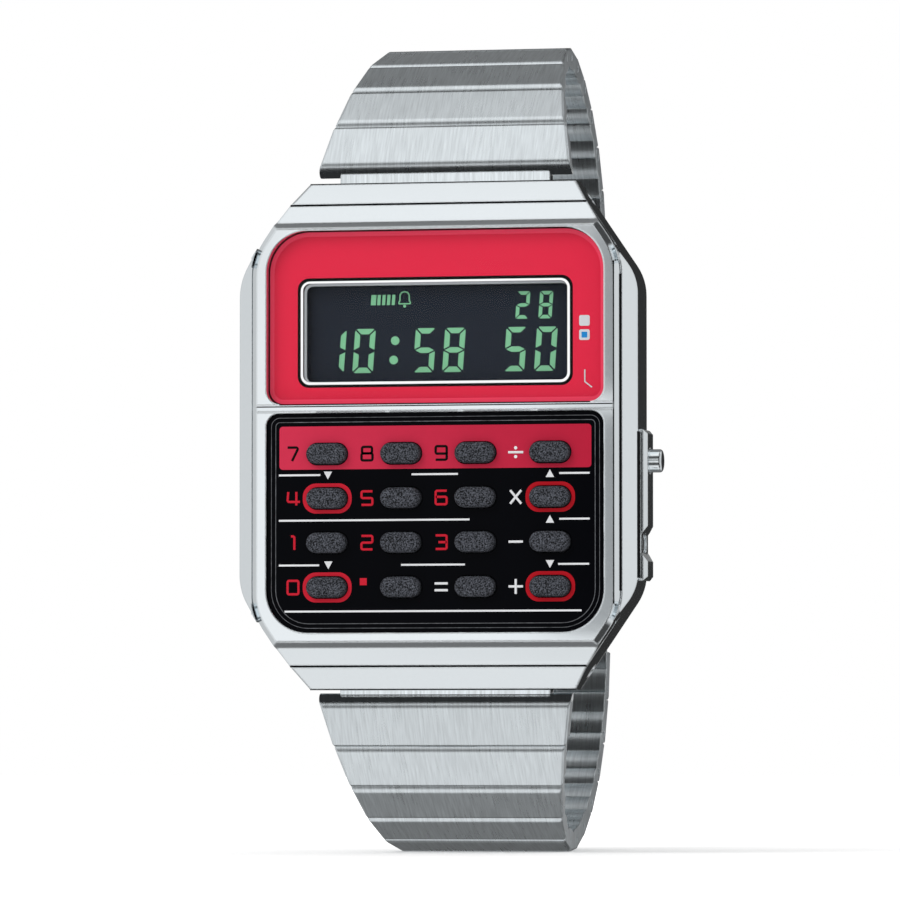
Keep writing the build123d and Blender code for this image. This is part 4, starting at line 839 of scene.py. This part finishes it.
# Printed signs of the keypad: strokes of one width with rounded corners,
# screen printed on the black plate to the left of each key. Four keys have
# a red ring, and white lines with small triangles part the rows.
SIGN_HEIGHT = 1.14 * MM
SIGN_WIDTH = 0.95 * MM
SIGN_STROKE = 0.2 * MM
SIGN_CORNER = 0.14 * MM
SIGN_GAP = 2.96 * MM
SIGNS = {
    "0": (((0, 0), (1, 0), (1, 1), (0, 1), "closed"),),
    "1": (((0.3, 1), (0.62, 1), (0.62, 0)),),
    "2": (((0, 1), (1, 1), (1, 0.5), (0, 0.5), (0, 0), (1, 0)),),
    "3": (((0, 1), (1, 1), (1, 0), (0, 0)), ((0.25, 0.5), (1, 0.5))),
    "4": (((0.06, 1), (0, 0.4), (0, 0.26), (1.12, 0.26)), ((0.8, 1), (0.8, 0.345)),
          ((0.8, 0.175), (0.8, 0))),
    "5": (((1, 1), (0, 1), (0, 0.5), (1, 0.5), (1, 0), (0, 0)),),
    "6": (((1, 1), (0, 1), (0, 0), (1, 0), (1, 0.55), (0, 0.55)),),
    "7": (((0, 1), (1, 1), (0.4, 0)),),
    "8": (((0, 0), (1, 0), (1, 0.52), (0, 0.52), "closed"),
          ((0.05, 0.52), (0.95, 0.52), (0.95, 1), (0.05, 1), "closed")),
    "9": (((0, 0), (1, 0), (1, 1), (0, 1), (0, 0.45), (1, 0.45)),),
    "divide": (((-0.18, 0.5), (1.18, 0.5)),),
    "multiply": (((0, 0), (1, 1)), ((0, 1), (1, 0))),
    "minus": (((-0.15, 0.5), (1.15, 0.5)),),
    "plus": (((-0.15, 0.5), (1.15, 0.5)), ((0.5, -0.05), (0.5, 1.05))),
    "equals": (((-0.1, 0.25), (1.1, 0.25)), ((-0.1, 0.75), (1.1, 0.75))),
}
WHITE_SIGNS = ("divide", "multiply", "minus", "plus", "equals")
BLACK_SIGNS = ("7", "8", "9")
CROSSING_LIFT = PRINT_THICK / 4
DIVIDE_DOT_RISE = 0.37 * MM
DIVIDE_DOT_RADIUS = 0.14 * MM
RINGED_KEYS = {"key_4": "ink_red", "key_multiply": "ink_deep_red",
               "key_0": "ink_red", "key_plus": "ink_deep_red"}
RING_HALF = (2.12, 1.27)
RING_RADIUS = 1.14
POINT_CENTRE = (-6.17, -12.43)
POINT_SIDE = 0.6
ROW_LINE = 0.16
ROW_LINES = ((-13.5, -9.9, -3.4), (-2.0, 2.0, -3.4), (10.7, 13.3, -3.4),
             (-13.5, 3.0, -7.24), (10.7, 13.3, -7.24),
             (-13.5, -10.0, -11.03), (-2.9, 2.6, -11.03), (10.6, 13.25, -11.03),
             (-13.0, 12.6, -14.93))
TRIANGLES = ((-9.24, -3.44, -1), (9.9, -3.4, 1), (9.9, -7.24, 1), (-9.2, -11.03, -1), (9.9, -11.03, -1))
TRIANGLE_HALF = (0.36, 0.33)
sign_faces = {"ink_black": plate_y - PRINT_THICK, "ink_red": plate_y, "ink_white": plate_y}
sign_paths = {ink: [] for ink in sign_faces}
dots, divide_paths, crossing_paths = [], [], []
for name in KEY_NAMES:
    label = name.removeprefix("key_")
    low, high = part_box(name)
    centre_x, centre_z = (low.x + high.x) / 2 - SIGN_GAP, (low.z + high.z) / 2
    ink = "ink_white" if label in WHITE_SIGNS else "ink_black" if label in BLACK_SIGNS else "ink_red"
    for number, path in enumerate(SIGNS.get(label, ())):
        closed = path[-1] == "closed"
        points = [p for p in path if p != "closed"]
        places = [(centre_x + (u - 0.5) * SIGN_WIDTH, centre_z + (v - 0.5) * SIGN_HEIGHT)
                  for u, v in points]
        group = divide_paths if label == "divide" else sign_paths[ink]
        group = crossing_paths if number and label in ("plus", "multiply") else group
        group.append((places, SIGN_CORNER, closed))
    if label == "divide":
        for side in (1, -1):
            dots.append(circle_outline(centre_x, centre_z + side * DIVIDE_DOT_RISE, DIVIDE_DOT_RADIUS))
for ink, paths in sign_paths.items():
    stroke_print(f"signs_{ink.removeprefix('ink_')}", paths, SIGN_STROKE, inks[ink], sign_faces[ink])
stroke_print("crossing_strokes", crossing_paths, SIGN_STROKE, inks["ink_white"],
             plate_y - CROSSING_LIFT)
stroke_print("divide_stroke", divide_paths, SIGN_STROKE, inks["ink_white"], plate_y - PRINT_THICK)
filled_print("divide_dots", dots, inks["ink_white"], plate_y - PRINT_THICK)
wide, tall = (half * MM for half in RING_HALF)
for name, ink in RINGED_KEYS.items():
    low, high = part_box(name)
    centre_x, centre_z = (low.x + high.x) / 2, (low.z + high.z) / 2
    ring = box_outline(centre_x - wide, centre_x + wide, centre_z - tall, centre_z + tall,
                       RING_RADIUS * MM, ROUND_STEPS)
    filled_print(f"ring_{name.removeprefix('key_')}", [ring, key_outline(name, KEY_HOLE_FIT)],
                 inks[ink], plate_y)
filled_print("point_dot", [square_outline(POINT_CENTRE, POINT_SIDE)], inks["ink_red"], plate_y)
marks = [box_outline(low_x * MM, high_x * MM, (z - ROW_LINE / 2) * MM, (z + ROW_LINE / 2) * MM)
         for low_x, high_x, z in ROW_LINES]
wide, tall = TRIANGLE_HALF
for x, z, upward in TRIANGLES:
    foot, tip = z - upward * tall, z + upward * tall
    marks.append([((x - wide) * MM, foot * MM), ((x + wide) * MM, foot * MM), (x * MM, tip * MM)])
filled_print("row_lines", marks, inks["ink_white"], plate_y)

# Inner pieces: the rubber mat and gasket, the module frame of black plastic,
# the circuit board under its green mask and the steel coin cell. They are
# stacked in the case and held down by its back.
MAT_GREY = (0.05, 0.05, 0.055, 1)
MODULE_BLACK = (0.02, 0.02, 0.022, 1)
BOARD_GREEN = (0.02, 0.13, 0.05, 1)
CELL_STEEL = (0.72, 0.72, 0.70, 1)
mat_rubber, _ = finished("mat_rubber", MAT_GREY, gloss=0.7, shade=0.2, grain=3000.0)
dress(mat_rubber, "keypad_mat", "case_gasket")
module_plastic, _ = finished("module_black", MODULE_BLACK, gloss=0.45, shade=0.2, grain=2000.0)
dress(module_plastic, "module_frame")
board, _ = finished("board_green", BOARD_GREEN, gloss=0.35, shade=0.3, grain=1500.0)
dress(board, "circuit_board")
cell, _ = finished("battery_steel", CELL_STEEL, gloss=0.28, shade=0.1, grain=3000.0, metallic=1.0)
dress(cell, "battery")

# Bracelet, case back and clasp: pressed and folded steel, brushed along the
# band on its broad faces, satin on its sides and polished on the tongues that
# join the first links to the case.
BRUSHED_STEEL = (0.75, 0.80, 0.825, 1)
BRUSH_DEPTH = 0.0025 * MM
SIDE_FACING = (0.85, 0.95)
SIDE_ROUGHNESS = 0.34
TONGUE_ROUGHNESS = 0.05
TONGUE_TOP = (22.3 * MM, 22.6 * MM)
TONGUE_DEPTH = (-2.2 * MM, -1.8 * MM)
NOSE_ROUND = 0.2 * MM
brushed, shader = finished("brushed_steel", BRUSHED_STEEL, gloss=0.2, shade=0.3, grain=6200.0, along=380.0,
                           metallic=1.0, spread=0.09, bump=BRUSH_DEPTH)
tree = brushed.node_tree
facing = tree.nodes.new("ShaderNodeTexCoord")
parts = tree.nodes.new("ShaderNodeSeparateXYZ")
tree.links.new(facing.outputs["Normal"], parts.inputs["Vector"])
side = range_node(tree, math_node(tree, "ABSOLUTE", parts.outputs["X"]), *SIDE_FACING)
rough = node_of(tree, "ShaderNodeGroup").outputs["Roughness"]
rough = math_node(tree, "MULTIPLY", rough, math_node(tree, "SUBTRACT", 1.0, side))
rough = math_node(tree, "ADD", rough, math_node(tree, "MULTIPLY", side, SIDE_ROUGHNESS))
_, _, depth, upward = object_place(tree)
near_case = range_node(tree, math_node(tree, "ABSOLUTE", upward), *TONGUE_TOP, 1.0, 0.0)
tongue = math_node(tree, "MULTIPLY", near_case, range_node(tree, depth, *TONGUE_DEPTH, 1.0, 0.0))
rough = math_node(tree, "MULTIPLY", rough, math_node(tree, "SUBTRACT", 1.0, tongue))
smooth = math_node(tree, "MULTIPLY", tongue, TONGUE_ROUGHNESS)
tree.links.new(math_node(tree, "ADD", rough, smooth), shader.inputs["Roughness"])
round_edges(tree, shader, NOSE_ROUND)
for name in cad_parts:
    if "_link_" in name:
        dress(brushed, name)
dress(brushed, "case_back", "clasp_frame", "clasp_cover", "clasp_lever", "end_plate")
